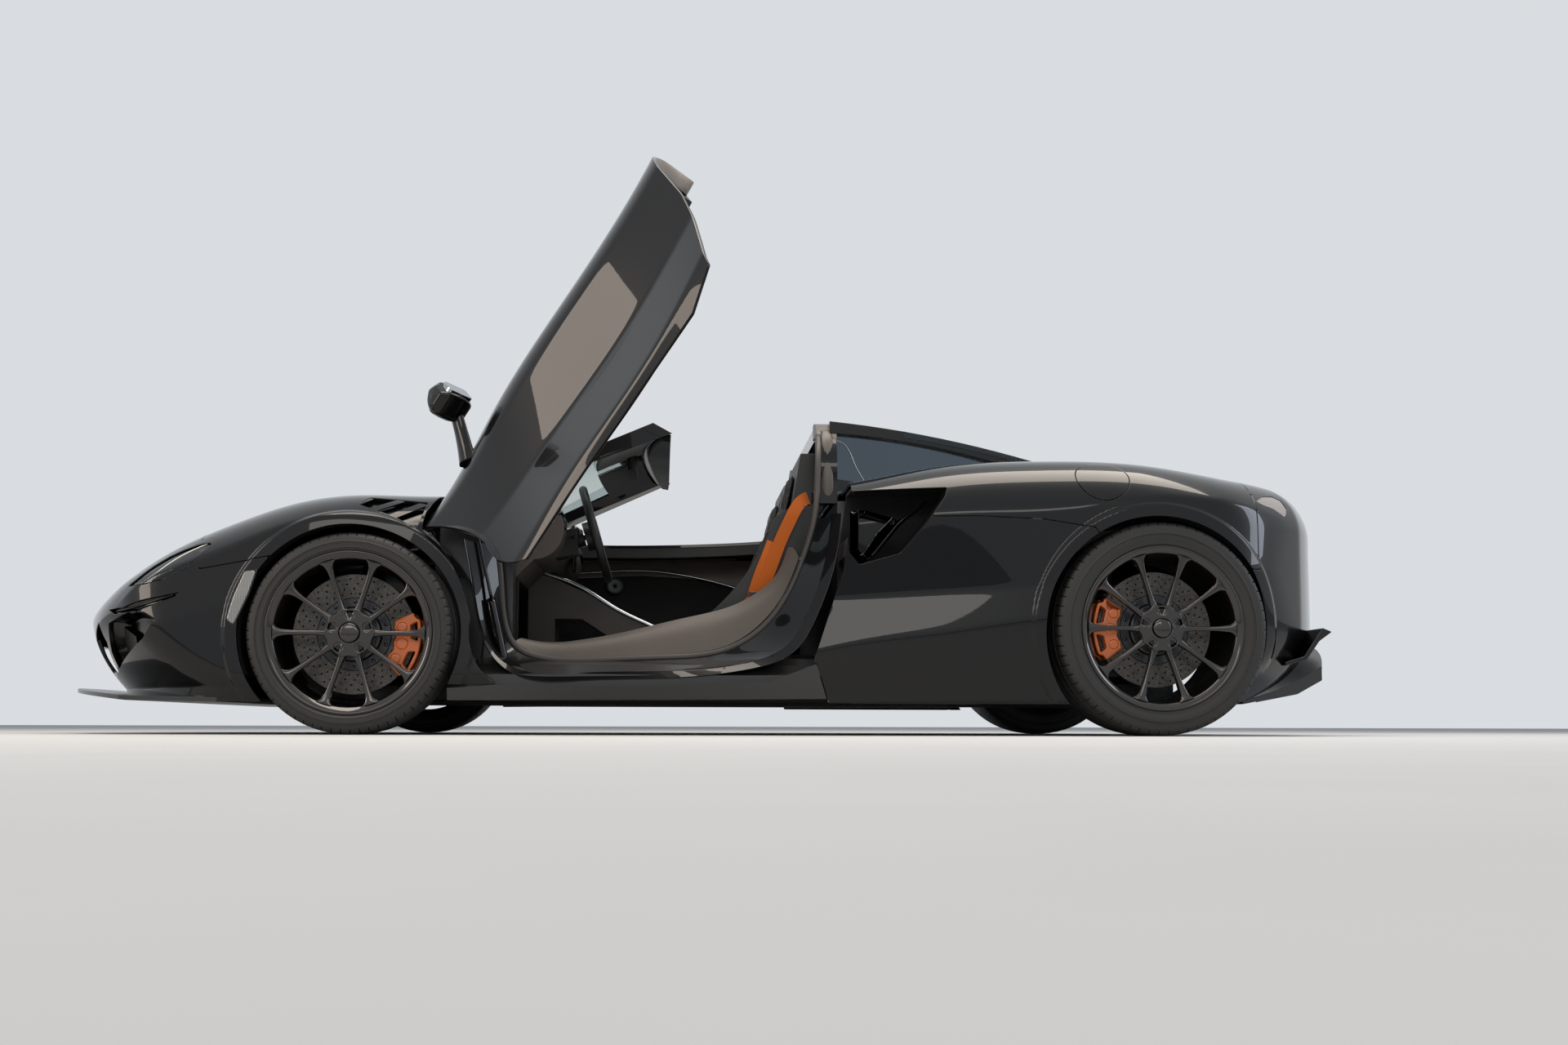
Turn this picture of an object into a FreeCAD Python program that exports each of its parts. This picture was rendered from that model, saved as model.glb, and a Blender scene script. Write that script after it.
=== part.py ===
# Open two-seat supercar with dihedral doors, in millimetres.
# +X points to the nose, +Y to the left, +Z up. The origin is on the floor, on the car's
# centre plane, halfway along the car. The left door stands open and the right one is shut.
import FreeCAD, Part
import Sketcher
import os
from FreeCAD import Placement, Rotation, Vector

doc = FreeCAD.newDocument("supercar")

# Driving sizes: name, millimetres or degrees, and what it measures.
SIZES = [
    ("wheelbase", 2640, "front axle to rear axle"),
    ("front_axle_x", 1190, "front axle ahead of the car's middle"),
    ("front_track", 1650, "between the front wheels' middles"),
    ("rear_track", 1613, "between the rear wheels' middles"),
    ("front_tyre_radius", 323.5, "235/35 R19 tyre"),
    ("front_tyre_width", 235, ""),
    ("front_bead_radius", 241, "19 inch rim"),
    ("rear_tyre_radius", 357, "295/35 R20 tyre"),
    ("rear_tyre_width", 295, ""),
    ("rear_bead_radius", 254, "20 inch rim"),
    ("rim_wall", 7, "barrel thickness"),
    ("hub_radius", 82, "wheel boss that carries the spokes"),
    ("spoke_count", 10, ""),
    ("spoke_root", 21, "spoke width at the boss"),
    ("spoke_tip", 31, "spoke width at the barrel"),
    ("spoke_depth", 30, ""),
    ("lug_count", 5, ""),
    ("lug_hole_radius", 13.5, ""),
    ("lug_circle_radius", 57, ""),
    ("stub_radius", 30, "axle stub that the wheel turns on"),
    ("running_gap", 0.05, "round the axle stub"),
    ("disc_radius", 195, "brake disc"),
    ("disc_inner_radius", 118, ""),
    ("disc_thickness", 34, ""),
    ("disc_hat_radius", 88, ""),
    ("front_disc_face", 30, "disc's mounting face outboard of the wheel's middle"),
    ("rear_disc_face", 58, ""),
    ("front_spoke_face", 100, "spokes' outer face outboard of the wheel's middle"),
    ("rear_spoke_face", 128, ""),
    ("caliper_outer_radius", 220, ""),
    ("caliper_inner_radius", 122, ""),
    ("caliper_angle", 62, "arc that the caliper covers"),
    ("caliper_gap", 4, "disc to caliper"),
    ("panel_wall", 10, "composite body panel"),
    ("door_skin_wall", 10, ""),
    ("door_trim_wall", 45, "door structure and inner trim"),
    ("shut_gap", 5, "between neighbouring panels"),
    ("seat_gap", 0.3, "between pieces that only rest on each other"),
    ("lamp_gap", 0.8, "round the lamps"),
    ("sill_y", 860, "outer face of the tub's sills"),
    ("front_arch_radius", 347, "wheel opening"),
    ("rear_arch_radius", 385, ""),
    ("liner_radius", 392, "wheel housing round a steered front wheel"),
    ("rear_liner_radius", 402, ""),
    ("liner_wall", 4, ""),
    ("floor_z", 112, "underside of the body"),
    ("tray_wall", 8, "flat undertray"),
    ("tub_floor", 36, "carbon floor"),
    ("door_angle", 62.9, "door's swing"),
    ("steer_angle", 32, "to each side"),
    ("screen_wall", 6, "windscreen glass"),
    ("fuel_flap_radius", 88, ""),
    ("steering_radius", 165, "steering wheel, to the middle of its rim"),
    ("steering_grip", 15, "radius of the steering wheel's rim"),
]
sheet = doc.addObject("Spreadsheet::Sheet", "sizes")
for row, (alias, number, meaning) in enumerate(SIZES, start=1):
    sheet.set("A%d" % row, alias)
    sheet.set("B%d" % row, str(number))
    sheet.set("C%d" % row, meaning)
    sheet.setAlias("B%d" % row, alias)
doc.recompute()


def size(alias):
    return float(sheet.get(alias))


front_x = size("front_axle_x")
rear_x = front_x - size("wheelbase")
front_y = size("front_track") / 2
rear_y = size("rear_track") / 2
gap = size("shut_gap")
wall = size("panel_wall")
floor_z = size("floor_z")


# Outlines are written as corners, with ("arc", middle, end) for a round stretch.
def wire(points, place):
    edges = []
    here = place(*points[0])
    for item in points[1:] + [points[0]]:
        if item[0] == "arc":
            end = place(*item[2])
            edges.append(Part.Arc(here, place(*item[1]), end).toShape())
            here = end
            continue
        end = place(*item)
        if (end - here).Length > 1e-6:
            edges.append(Part.LineSegment(here, end).toShape())
        here = end
    return Part.Wire(edges)


def side_face(points, grow=0.0):
    face = Part.Face(wire(points, lambda x, z: Vector(x, 0, z)))
    return face.makeOffset2D(grow) if grow else face


def plan_face(points, grow=0.0):
    face = Part.Face(wire(points, lambda x, y: Vector(x, y, 0)))
    return face.makeOffset2D(grow) if grow else face


def side_prism(points, y_low, y_high, grow=0.0):
    face = side_face(points, grow)
    face.translate(Vector(0, y_low, 0))
    return face.extrude(Vector(0, y_high - y_low, 0))


def plan_prism(points, z_low, z_high, grow=0.0):
    face = plan_face(points, grow)
    face.translate(Vector(0, 0, z_low))
    return face.extrude(Vector(0, 0, z_high - z_low))


def front_prism(points, x_low, x_high):
    face = Part.Face(wire(points, lambda y, z: Vector(x_low, y, z)))
    return face.extrude(Vector(x_high - x_low, 0, 0))


def block(x, y, z):
    return Part.makeBox(x[1] - x[0], y[1] - y[0], z[1] - z[0], Vector(x[0], y[0], z[0]))


def cross_cylinder(radius, x, z, y_low, y_high):
    return Part.makeCylinder(radius, y_high - y_low, Vector(x, y_low, z), Vector(0, 1, 0))


def mirrored(shape):
    return shape.mirror(Vector(0, 0, 0), Vector(0, 1, 0))


def both(shape):
    return Part.makeCompound(shape.Solids + mirrored(shape).Solids)


def solids_of(shape):
    return shape.Solids[0] if len(shape.Solids) == 1 else Part.makeCompound(shape.Solids)


def largest(shape):
    return max(shape.Solids, key=lambda solid: solid.Volume)


def piece(label, shape):
    part = doc.addObject("Part::Feature", label)
    part.Label = label
    part.Shape = solids_of(shape)
    pieces.append(part)
    return part


pieces = []

# Cross-sections of the body's left half, nose to tail. Columns: x, then y and z of the
# sill edge, flare, waist, hip (where the shoulder starts), crest and inner edge, and z on
# the centre plane. The shoulder is an arc from hip through crest to inner edge.
SECTIONS = [
    (2260, 790, 108, 800, 118, 805, 135, 790, 165, 700, 232, 520, 322, 425),
    (2043, 870, 108, 885, 160, 880, 250, 855, 345, 740, 408, 560, 462, 520),
    (1872, 895, 106, 915, 172, 905, 330, 875, 475, 748, 548, 560, 572, 590),
    (1617, 905, 104, 930, 180, 925, 400, 900, 580, 750, 683, 560, 672, 655),
    (1402, 915, 104, 945, 182, 945, 480, 922, 665, 750, 761, 560, 733, 700),
    (1190, 920, 106, 948, 190, 953, 500, 930, 697, 750, 791, 570, 760, 735),
    (951, 895, 110, 912, 190, 905, 440, 893, 662, 760, 785, 640, 790, 806),
    (500, 900, 114, 925, 200, 872, 430, 905, 650, 790, 800, 700, 797, 830),
    (0, 905, 116, 930, 215, 868, 440, 910, 668, 800, 812, 705, 806, 850),
    (-430, 910, 120, 936, 300, 912, 450, 928, 695, 820, 840, 705, 850, 870),
    (-700, 915, 122, 944, 335, 928, 470, 946, 725, 828, 888, 660, 900, 960),
    (-1067, 915, 126, 948, 388, 942, 500, 950, 745, 826, 915, 620, 925, 935),
    (-1450, 910, 130, 945, 390, 956, 560, 948, 792, 815, 914, 600, 912, 900),
    (-1750, 885, 140, 915, 380, 940, 560, 918, 775, 790, 872, 580, 882, 880),
    (-1940, 820, 160, 850, 370, 880, 560, 855, 748, 760, 840, 560, 856, 860),
    (-2240, 640, 180, 680, 360, 715, 560, 700, 700, 620, 795, 480, 822, 832),
]
DECK_HALF = 260


# The closed section of a row, pulled in by `inset`; an inner skin runs on below the sill.
def section(row, inset, below):
    x, sill_y, sill_z, flare_y, flare_z, waist_y, waist_z, hip_y, hip_z = row[:9]
    crest_y, crest_z, inner_y, inner_z, centre_z = row[9:]
    sill = (sill_y - inset, sill_z - below)
    flare = (flare_y - inset, flare_z)
    waist = (waist_y - inset, waist_z)
    hip = (hip_y - inset, hip_z - inset * 0.3)
    crest = (crest_y - inset * 0.5, crest_z - inset * 0.95)
    inner = (inner_y, inner_z - inset)
    left, right = [[(side * y, z) for y, z in (sill, flare, waist, hip, crest, inner)]
                   for side in (1, -1)]
    return wire([
        left[0], left[1], left[2], left[3], ("arc", left[4], left[5]),
        (DECK_HALF, centre_z - inset), (-DECK_HALF, centre_z - inset), right[5],
        ("arc", right[4], right[3]),
        right[2], right[1], right[0],
    ], lambda y, z: Vector(x, y, z))


# The car's plan is rounded at both ends: x and y of the left half, nose then tail.
NOSE = [(2235, 0), (2192, 330), (2066, 640), (1868, 884), (1600, 1050)]
TAIL = [(-1600, 1050), (-1850, 880), (-2000, 760), (-2175, 420), (-2232, 0)]


def ends_plan(inset):
    right_nose = [(x, -y) for x, y in NOSE[::-1]]
    right_tail = [(x, -y) for x, y in TAIL[::-1]]
    nose = right_nose[:-1] + NOSE
    tail = TAIL + right_tail[1:]
    points = [nose[0]]
    for middle, end in zip(nose[1::2], nose[2::2]):
        points.append(("arc", middle, end))
    points.append(tail[0])
    for middle, end in zip(tail[1::2], tail[2::2]):
        points.append(("arc", middle, end))
    return plan_prism(points, 0, 1300, -inset)


def body(inset, below=0.0):
    rows = [section(row, inset, below) for row in SECTIONS]
    return Part.makeLoft(rows, True, False).common(ends_plan(inset))


seat = size("seat_gap")
outer_body = body(0.0)
panel = outer_body.cut(body(wall, 60.0))
under_panel = body(wall + seat, 60.0)

# Shut lines in side view, as x and z, and in plan, as x and y.
DOOR = [
    (951, 664), ("arc", (858, 518), (812, 370)), ("arc", (795, 240), (733, 168)),
    (227, 166), (-150, 182), (-286, 239), (-387, 538), (-423, 845), (-423, 1000),
    (850, 1000), (870, 790),
]
DOOR_TRIM = [
    (890, 664), ("arc", (815, 518), (772, 370)), ("arc", (755, 270), (700, 215)),
    (227, 208), (-120, 226), (-244, 275), (-345, 538), (-380, 845), (-380, 1000),
    (800, 1000), (835, 790),
]
WING = [
    (1690, 1000), (1690, 646), (1664, 528), (1430, 569), (front_x, 323), (890, 164),
    (700, 164), (700, 1000),
]
BONNET = [
    (1047.5, 600), (1420, 565), (1720, 520), (1850, 380), ("arc", (1920, 0), (1850, -380)),
    (1720, -520), (1420, -565), (1047.5, -600),
]
COWL = [
    (1045, -600), (1045, 600), (965, 700), (700, 700), (700, 655), (930, 640), (930, -640),
    (700, -655), (700, -700), (965, -700),
]
HEADLAMP = [(1980, 482), ("arc", (1850, 600), (1690, 646)), ("arc", (1800, 552), (1941, 470))]
CLAMSHELL = [
    (-250, 1300), (-250, 740), (-440, 738), (-624, 721), (-841, 724), (-1060, 716), (-1225, 691),
    (-1440, 345), (-1700, 560), (-1790, 560), (-1802, 1300),
]
TAIL_LAMP = [(-1802, 822), (-1953, 834), (-1975, 765), (-1908, 742), (-1802, 760)]
TONNEAU = [(-425, -505), (-425, 505), (-700, 500), (-960, 480), (-960, -480), (-700, -500)]
INTAKE = [
    (-405, 812), (-737, 822), (-728, 789), ("arc", (-650, 680), (-577, 596)), (-441, 557),
    (-405, 600),
]
SKIRT = [
    (885, 90), (885, 150), (733, 160), (227, 158), (-150, 174), (-300, 232), (-345, 90),
]

front_arch = cross_cylinder(size("front_arch_radius"), front_x, 323, 480, 1100)
rear_arch = cross_cylinder(size("rear_arch_radius"), -1440, 345, 560, 1100)
door_region = side_prism(DOOR, 600, 1100).common(plan_prism([
    (-430, 660), (-430, 1000), (960, 1000), (960, 712), (692, 712), (692, 660),
], 0, 1100))
door_hole = side_prism(DOOR, 600, 1100, gap).common(plan_prism([
    (-440, 650), (-440, 1100), (980, 1100), (980, 700), (700, 700), (690, 650),
], 0, 1100))
# The opening door's top corner swings forward here, so the wing stops short of it.
corner_swing = side_prism([
    (950, 648), (975, 662), (968, 722), (935, 800), (935, 1000), (850, 1000), (880, 700),
], 690, 1100)
bonnet_hole = plan_prism(BONNET, 300, 1100, gap)
lamp_hole = side_prism(HEADLAMP, 540, 1000, size("lamp_gap"))

# Nose: bumper with a central mouth and a large intake under each lamp.
front_part = block((1190, 2400), (-1100, 1100), (60, 1000))
wing_hole = both(side_prism(WING, 560, 1100, gap))
MOUTH = [(-300, 205), (300, 205), (350, 250), (300, 302), (-300, 302), (-350, 250)]
SIDE_INTAKE = [(430, 205), (700, 205), (760, 300), (640, 385), (455, 320)]
bumper = panel.common(front_part).cut(wing_hole).cut(both(front_arch)).cut(bonnet_hole)
bumper = bumper.cut(both(lamp_hole)).cut(front_prism(MOUTH, 1980, 2300))
bumper = bumper.cut(both(front_prism(SIDE_INTAKE, 1900, 2300)))
splitter_side = [(2290, 163), (1880, 122), (1600, 118), (1600, 104), (1880, 108), (2290, 151)]
bumper = bumper.cut(side_prism([(2290, 163 + seat), (1880, 122 + seat), (1600, 118 + seat),
                                (1600, 80), (2290, 80)], -1000, 1000))
piece("front_bumper", largest(bumper))
splitter = side_prism(splitter_side, -1000, 1000)
splitter = splitter.common(ends_plan(-34.5)).common(block((1500, 2400), (-900, 900), (0, 400)))
splitter = splitter.cut(cross_cylinder(size("liner_radius"), front_x, 323, -1000, 1000))
piece("front_splitter", splitter)

wing = panel.common(side_prism(WING, 560, 1100)).cut(front_arch).cut(door_hole).cut(bonnet_hole)
wing = wing.cut(lamp_hole).cut(corner_swing).cut(plan_prism(COWL, 300, 1100, gap / 2))
piece("front_wings", both(largest(wing)))

bonnet = panel.common(plan_prism(BONNET, 300, 1100))
piece("bonnet", bonnet)

lamp = outer_body.common(side_prism(HEADLAMP, 542, 1000)).cut(body(45.0, 60.0))
piece("headlamps", both(lamp.cut(bonnet_hole)))

# Doors: outer skin, and the structure and trim inside it.
door_skin = panel.common(door_region)
trim_region = side_prism(DOOR_TRIM, 600, 1100)
door_trim = under_panel.common(trim_region).common(door_region)
door_trim = door_trim.cut(body(wall + size("door_trim_wall"), 60.0))

skirt = outer_body.common(side_prism(SKIRT, size("sill_y") + seat, 1100))
piece("side_skirts", both(skirt))

# Rear sides below the clamshell line, with the mouth of the side intake.
intake = side_prism(INTAKE, 780, 1100)
behind_door = side_prism([(-250, 90), (-250, 900), (-1500, 900), (-1500, 90)], 600, 1100)
clam_region = side_prism(CLAMSHELL, -1100, 1100)
clam_hole = side_prism(CLAMSHELL, -1100, 1100, gap)
skirt_hole = side_prism(SKIRT, 700, 1100, gap)
quarter = panel.common(behind_door).cut(door_hole).cut(clam_hole).cut(rear_arch)
quarter = quarter.cut(intake).cut(skirt_hole)
piece("rear_quarters", both(largest(quarter)))

tonneau_hole = plan_prism(TONNEAU, 600, 1300, gap)
tail_lamp_hole = side_prism(TAIL_LAMP, 560, 1100, size("lamp_gap"))
clam = panel.common(clam_region).cut(both(door_hole)).cut(both(rear_arch)).cut(both(intake))
clam = clam.cut(tonneau_hole).cut(both(tail_lamp_hole)).cut(block((-428, 0), (-655, 655), (700, 1300)))
for slot_x in range(-1560, -1020, 90):
    clam = clam.cut(block((slot_x, slot_x + 50), (-300, 300), (700, 1200)))
FLAP_SPOT = Vector(-1265, 893, 858)
FLAP_RUN = Vector(0, 0.6, 0.8)


def flap_drum(radius):
    return Part.makeCylinder(radius, 160, FLAP_SPOT - FLAP_RUN * 80, FLAP_RUN)


flap_r = size("fuel_flap_radius")
clam = clam.cut(flap_drum(flap_r + gap))
sunk_panel = body(wall + 0.6, 60.0)
clam_extras = sunk_panel.common(flap_drum(flap_r + 10)).cut(flap_drum(flap_r - 12)).cut(body(wall + 12, 60.0))
gutter = sunk_panel.common(plan_prism(TONNEAU, 600, 1300, 14.0)).cut(plan_prism(TONNEAU, 600, 1300, -12.0))
gutter = gutter.cut(body(wall + 6, 60.0))
piece("rear_clamshell", Part.makeCompound(clam.Solids + clam_extras.Solids + gutter.Solids))
piece("fuel_flap", panel.common(flap_drum(flap_r)))

tonneau = panel.common(plan_prism(TONNEAU, 600, 1300))
piece("tonneau_cover", tonneau)

tail = panel.common(block((-2300, -1600), (-1100, 1100), (60, 1100))).cut(clam_hole)
tail = tail.cut(both(rear_arch)).cut(both(tail_lamp_hole))
GRILLE = [(-560, 520), (560, 520), (600, 640), (560, 740), (-560, 740), (-600, 640)]
tail = tail.cut(front_prism(GRILLE, -2300, -2000))
tail = tail.cut(front_prism([(-620, 60), (620, 60), (620, 360), (-620, 360)], -2300, -1700))
piece("rear_bumper", tail)
tail_lamp = outer_body.common(side_prism(TAIL_LAMP, 562, 1100)).cut(body(40.0, 60.0))
piece("tail_lamps", both(tail_lamp.cut(clam_hole)))


# Wheel housings: a wide drum over the steered tyre, and a narrower one out to the panels.
def ring(radius, x, z, y_low, y_high):
    thick = size("liner_wall")
    outer = cross_cylinder(radius + thick, x, z, y_low, y_high)
    return outer.cut(cross_cylinder(radius, x, z, y_low - 1, y_high + 1))


above_hub = block((-3000, 3000), (0, 1200), (190, 1200))
liner_r = size("liner_radius")
arch_r = size("front_arch_radius") + 4
step_y = 866
front_liner = ring(liner_r, front_x, 323, 520, step_y + 4)
front_liner = front_liner.fuse(ring(arch_r, front_x, 323, step_y, 1000))
step = cross_cylinder(liner_r + 2, front_x, 323, step_y, step_y + 4)
front_liner = front_liner.fuse(step.cut(cross_cylinder(arch_r + 1, front_x, 323, 700, 900)))
front_liner = front_liner.common(under_panel).common(above_hub).cut(door_hole)
rear_r = size("rear_liner_radius") - 13
rear_liner = ring(rear_r, -1440, 345, 560, 1000).common(under_panel)
rear_liner = rear_liner.common(block((-1840, -1000), (0, 1200), (345, 1200)))
piece("arch_liners", Part.makeCompound(both(front_liner).Solids + both(rear_liner).Solids))

# Carbon tub: floor and sills as one section, bulkheads, front pillars and nose box.
tub_low = floor_z + size("tray_wall") + seat
sill_y = size("sill_y")
cabin_y = 645
tub_section = [
    (-sill_y, tub_low), (-sill_y, 196), (-800, 232), (-700, 258), (-cabin_y, 258),
    (-cabin_y, tub_low + size("tub_floor")), (cabin_y, tub_low + size("tub_floor")),
    (cabin_y, 258), (700, 258), (800, 232), (sill_y, 196), (sill_y, tub_low),
]
cabin_floor = tub_low + size("tub_floor")
tyre_sweep = cross_cylinder(liner_r + 5, front_x, 323, 516, 1000)
tub = front_prism(tub_section, -425, 985)
tub = tub.cut(tyre_sweep).cut(mirrored(tyre_sweep))
under_cowl = body(35.0 + seat, 60.0)
firewall = block((945, 985), (-515, 515), (tub_low, 1000)).common(under_cowl)
wheel_walls = both(block((700, 960), (516 - 36, 516), (tub_low, 700)))
rear_wall = block((-425, -395), (-700, 700), (tub_low, 800))
pillar = block((700, 945), (600, 690), (tub_low, 748)).cut(tyre_sweep)
nose_box = block((975, 1500), (-330, 330), (tub_low, 300))
nose_box = nose_box.cut(block((1000, 1480), (-310, 310), (tub_low + 20, 320)))
tower = block((1090, 1290), (330, 520 - seat), (200, 260))
tower = tower.fuse(block((1090, 1290), (490, 520 - seat), (200, 690)))

# Each door turns on one pin that leans inward and back. It opens by the door's swing.
HINGE_SPOT = Vector(919, 820, 706)
HINGE_RUN = Vector(0.458, 0.696, -0.553).normalize()


def along_hinge(radius, start, end):
    return Part.makeCylinder(radius, end - start, HINGE_SPOT + HINGE_RUN * start, HINGE_RUN)


def opened(shape):
    done = shape.copy()
    done.rotate(HINGE_SPOT, HINGE_RUN, size("door_angle"))
    return done


pin = along_hinge(8, -95, -25).fuse(along_hinge(14, -95, -65))
pin = pin.fuse(block((867, 892), (685, 768), (730, 750)).common(under_panel))
tub = tub.multiFuse([firewall, rear_wall, pillar, mirrored(pillar), nose_box, tower, pin,
                     mirrored(tower), mirrored(pin)] + wheel_walls.Solids)
piece("tub", tub.removeSplitter())

# Flat undertray with the wheels' wells cut out.
tray_plan = plan_face([(1599.7, -820), (1599.7, 820), (-1850, 780), (-1850, -780)])
tray_plan.translate(Vector(0, 0, floor_z))
tray = tray_plan.extrude(Vector(0, 0, size("tray_wall")))
for well_x, well_y, reach in ((front_x, 515, liner_r + 10), (rear_x, 560, 400)):
    well = block((well_x - reach, well_x + reach), (well_y, 1200), (0, 400))
    tray = tray.cut(well).cut(mirrored(well))
piece("undertray", tray)

# Cowl, screen pillars and header. The glass runs between two arcs, low at the front.
def screen_arc(x_mid, x_side, y_side, z_mid, z_side):
    return [Vector(x_side, -y_side, z_side), Vector(x_mid, 0, z_mid), Vector(x_side, y_side, z_side)]


def between(low, high, share):
    return [a + (b - a) * share for a, b in zip(low, high)]


def screen_band(low, high, front, back):
    wires = []
    for ends in (low, high):
        rise = (ends[1] - (ends[0] + ends[2]) * 0.5).normalize()
        outer_points = [point + rise * front for point in ends]
        inner_points = [point - rise * back for point in ends]
        outer = Part.Arc(*outer_points).toShape()
        inner = Part.Arc(*inner_points[::-1]).toShape()
        left = Part.LineSegment(outer_points[2], inner_points[2]).toShape()
        right = Part.LineSegment(inner_points[0], outer_points[0]).toShape()
        wires.append(Part.Wire([outer, left, inner, right]))
    return Part.makeLoft(wires, True, True)


# The glass is raked, so a wall measured along the car is longer than its thickness.
rake = 2.3
base = screen_arc(1010, 860, 690, 792, 792)
head = screen_arc(290, 235, 560, 1118, 1088)
glass_wall = size("screen_wall") * rake
daylight = front_prism([(-632, 700), (-512, 1076), (512, 1076), (632, 700)], 0, 1300)
glass = screen_band(between(base, head, 0.02), between(base, head, 0.96), 0, glass_wall)
glass = glass.common(front_prism([(-645, 700), (-530, 1080), (530, 1080), (645, 700)], 0, 1300))
frame_band = screen_band(between(base, head, -0.05), head, 2, 75)
header_low = between(base, head, 0.93)
header = screen_band(header_low, head, 2, 75)
pillars = frame_band.cut(daylight).fuse(header)
slot = screen_band(between(base, head, -0.05), between(base, head, 0.965), seat, glass_wall + seat)
slot = slot.common(front_prism([(-646, 700), (-531, 1082), (531, 1082), (646, 700)], 0, 1300))
cowl = outer_body.common(plan_prism(COWL, 600, 1100, -gap / 2)).cut(body(35.0, 60.0))
screen_frame = cowl.fuse(pillars).cut(slot)
glass = glass.cut(body(-seat, 60.0))
piece("windscreen_frame", screen_frame)
piece("windscreen", glass)

# Both doors, with the ring that turns on the pin and the mirror on its arm.
ring_arm = side_prism([(905, 752), (880, 770), (800, 700), (800, 640), (880, 690)], 776, 800)
ring_arm = ring_arm.common(along_hinge(300, -60, 400))
lug = along_hinge(14, -60, -30).fuse(ring_arm).cut(along_hinge(8.05, -200, 100)).common(under_panel)
door_trim = door_trim.fuse(lug)
HOUSING = [(545, 872), ("arc", (600, 905), (655, 872)), ("arc", (668, 842), (640, 806)), (548, 812)]
housing = side_prism(HOUSING, 880, 1045)
arm = side_prism([(634, 810), (612, 828), (660, 695), (722, 684)], 862, 904)
mirror = housing.fuse(arm).cut(body(-seat))
for label, shape in (("door_skin", door_skin), ("door_trim", door_trim), ("mirror", mirror)):
    piece(label + "_left", opened(largest(shape)))
    piece(label + "_right", mirrored(largest(shape)))

# Roll hoop on the cabin's rear wall, and the flying buttresses that run back from it.
HOOP_OUTER = [
    (-650, 800 + seat), (-640, 880), ("arc", (-604, 1040), (-510, 1099)), (510, 1099),
    ("arc", (604, 1040), (640, 880)), (650, 800 + seat),
]
HOOP_INNER = [
    (-598, 790), (-590, 880), ("arc", (-556, 1002), (-480, 1048)), (480, 1048),
    ("arc", (556, 1002), (590, 880)), (598, 790),
]
RAIL = [
    (-380, 1098), ("arc", (-775, 1043), (-1160, 950)), (-1290, 905), (-1180, 890),
    ("arc", (-775, 1007), (-380, 1056)),
]
above_skin = body(-seat, 900.0)
hoop = front_prism(HOOP_OUTER, -402, -338).cut(front_prism(HOOP_INNER, -500, -300))
rail = side_prism(RAIL, 540, 600).cut(above_skin)
hoop = hoop.multiFuse(both(rail).Solids)
piece("roll_hoop", hoop)

SAIL = [(-404, 1070), ("arc", (-775, 1020), (-1130, 940)), (-1150, 860), (-404, 780)]
sail = side_prism(SAIL, 572, 578).cut(above_skin).cut(rail)
sail = sail.cut(hoop)
window = front_prism(HOOP_INNER, -373, -367).common(block((-400, -300), (-620, 620), (800 + seat, 1200)))
piece("rear_glass", Part.makeCompound(both(sail).Solids + window.Solids))

# Luggage bin under the bonnet, with rubber buffers that carry the lid.
bin_block = block((1250, 1850), (-480, 480), (300 + seat, 900)).common(body(wall + 8, 60.0))
bin_block = bin_block.cut(block((1256, 1844), (-474, 474), (306, 1000)))
for stop_x in (1290, 1780):
    for stop_y in (-474, 462):
        stop = block((stop_x, stop_x + 24), (stop_y, stop_y + 12), (400, 900)).common(under_panel)
        bin_block = bin_block.fuse(stop)
piece("front_boot", bin_block.removeSplitter())

# Meshes behind the openings at both ends.
def behind(zone, depth):
    return under_panel.common(zone).cut(body(wall + depth, 60.0))


MOUTH_BACK = [(-320, 190), (320, 190), (380, 250), (320, 318), (-320, 318), (-380, 250)]
INTAKE_BACK = [(415, 190), (715, 190), (780, 300), (650, 400), (440, 335)]
mouth_mesh = behind(front_prism(MOUTH_BACK, 1960, 2300), 8.0)
side_mesh = behind(front_prism(INTAKE_BACK, 1880, 2300), 8.0)
piece("front_grille", Part.makeCompound(mouth_mesh.Solids + both(side_mesh).Solids))
tip_y, tip_z, tip_r = 95, 640, 56
GRILLE_BACK = [(-580, 505), (580, 505), (620, 640), (580, 755), (-580, 755), (-620, 640)]
rear_mesh = behind(front_prism(GRILLE_BACK, -2300, -2000), 12.0)
tips = []
for side in (1, -1):
    start = Vector(-2236, side * tip_y, tip_z)
    tube = Part.makeCylinder(tip_r, 150, start, Vector(1, 0, 0))
    tips.append(tube.cut(Part.makeCylinder(tip_r - 6, 130, start, Vector(1, 0, 0))))
    rear_mesh = rear_mesh.cut(Part.makeCylinder(tip_r + seat, 400, start, Vector(1, 0, 0)))
piece("rear_grille", rear_mesh)
piece("exhaust_tips", Part.makeCompound(tips))

DIFFUSER = [
    (-1850.3, 112), ("arc", (-2075, 188), (-2262, 330)), (-2262, 346),
    ("arc", (-2068, 205), (-1850.3, 128)),
]
FIN = [
    (-1900, 119), (-2050, 148), (-2200, 230), (-2255, 300), (-2255, 330),
    ("arc", (-2072, 196), (-1900, 131)),
]
diffuser = side_prism(DIFFUSER, -600, 600)
diffuser = diffuser.multiFuse([side_prism(FIN, y - 4, y + 4) for y in (-596, -430, -260, -90, 90, 260, 430, 596)])
piece("diffuser", diffuser.removeSplitter().common(ends_plan(-37)))

duct = under_panel.common(side_prism(INTAKE, 700.3, 1000, 12.0)).common(behind_door).cut(door_hole)
duct = duct.cut(side_prism(INTAKE, 712, 1100))
piece("intake_ducts", both(duct))

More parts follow.
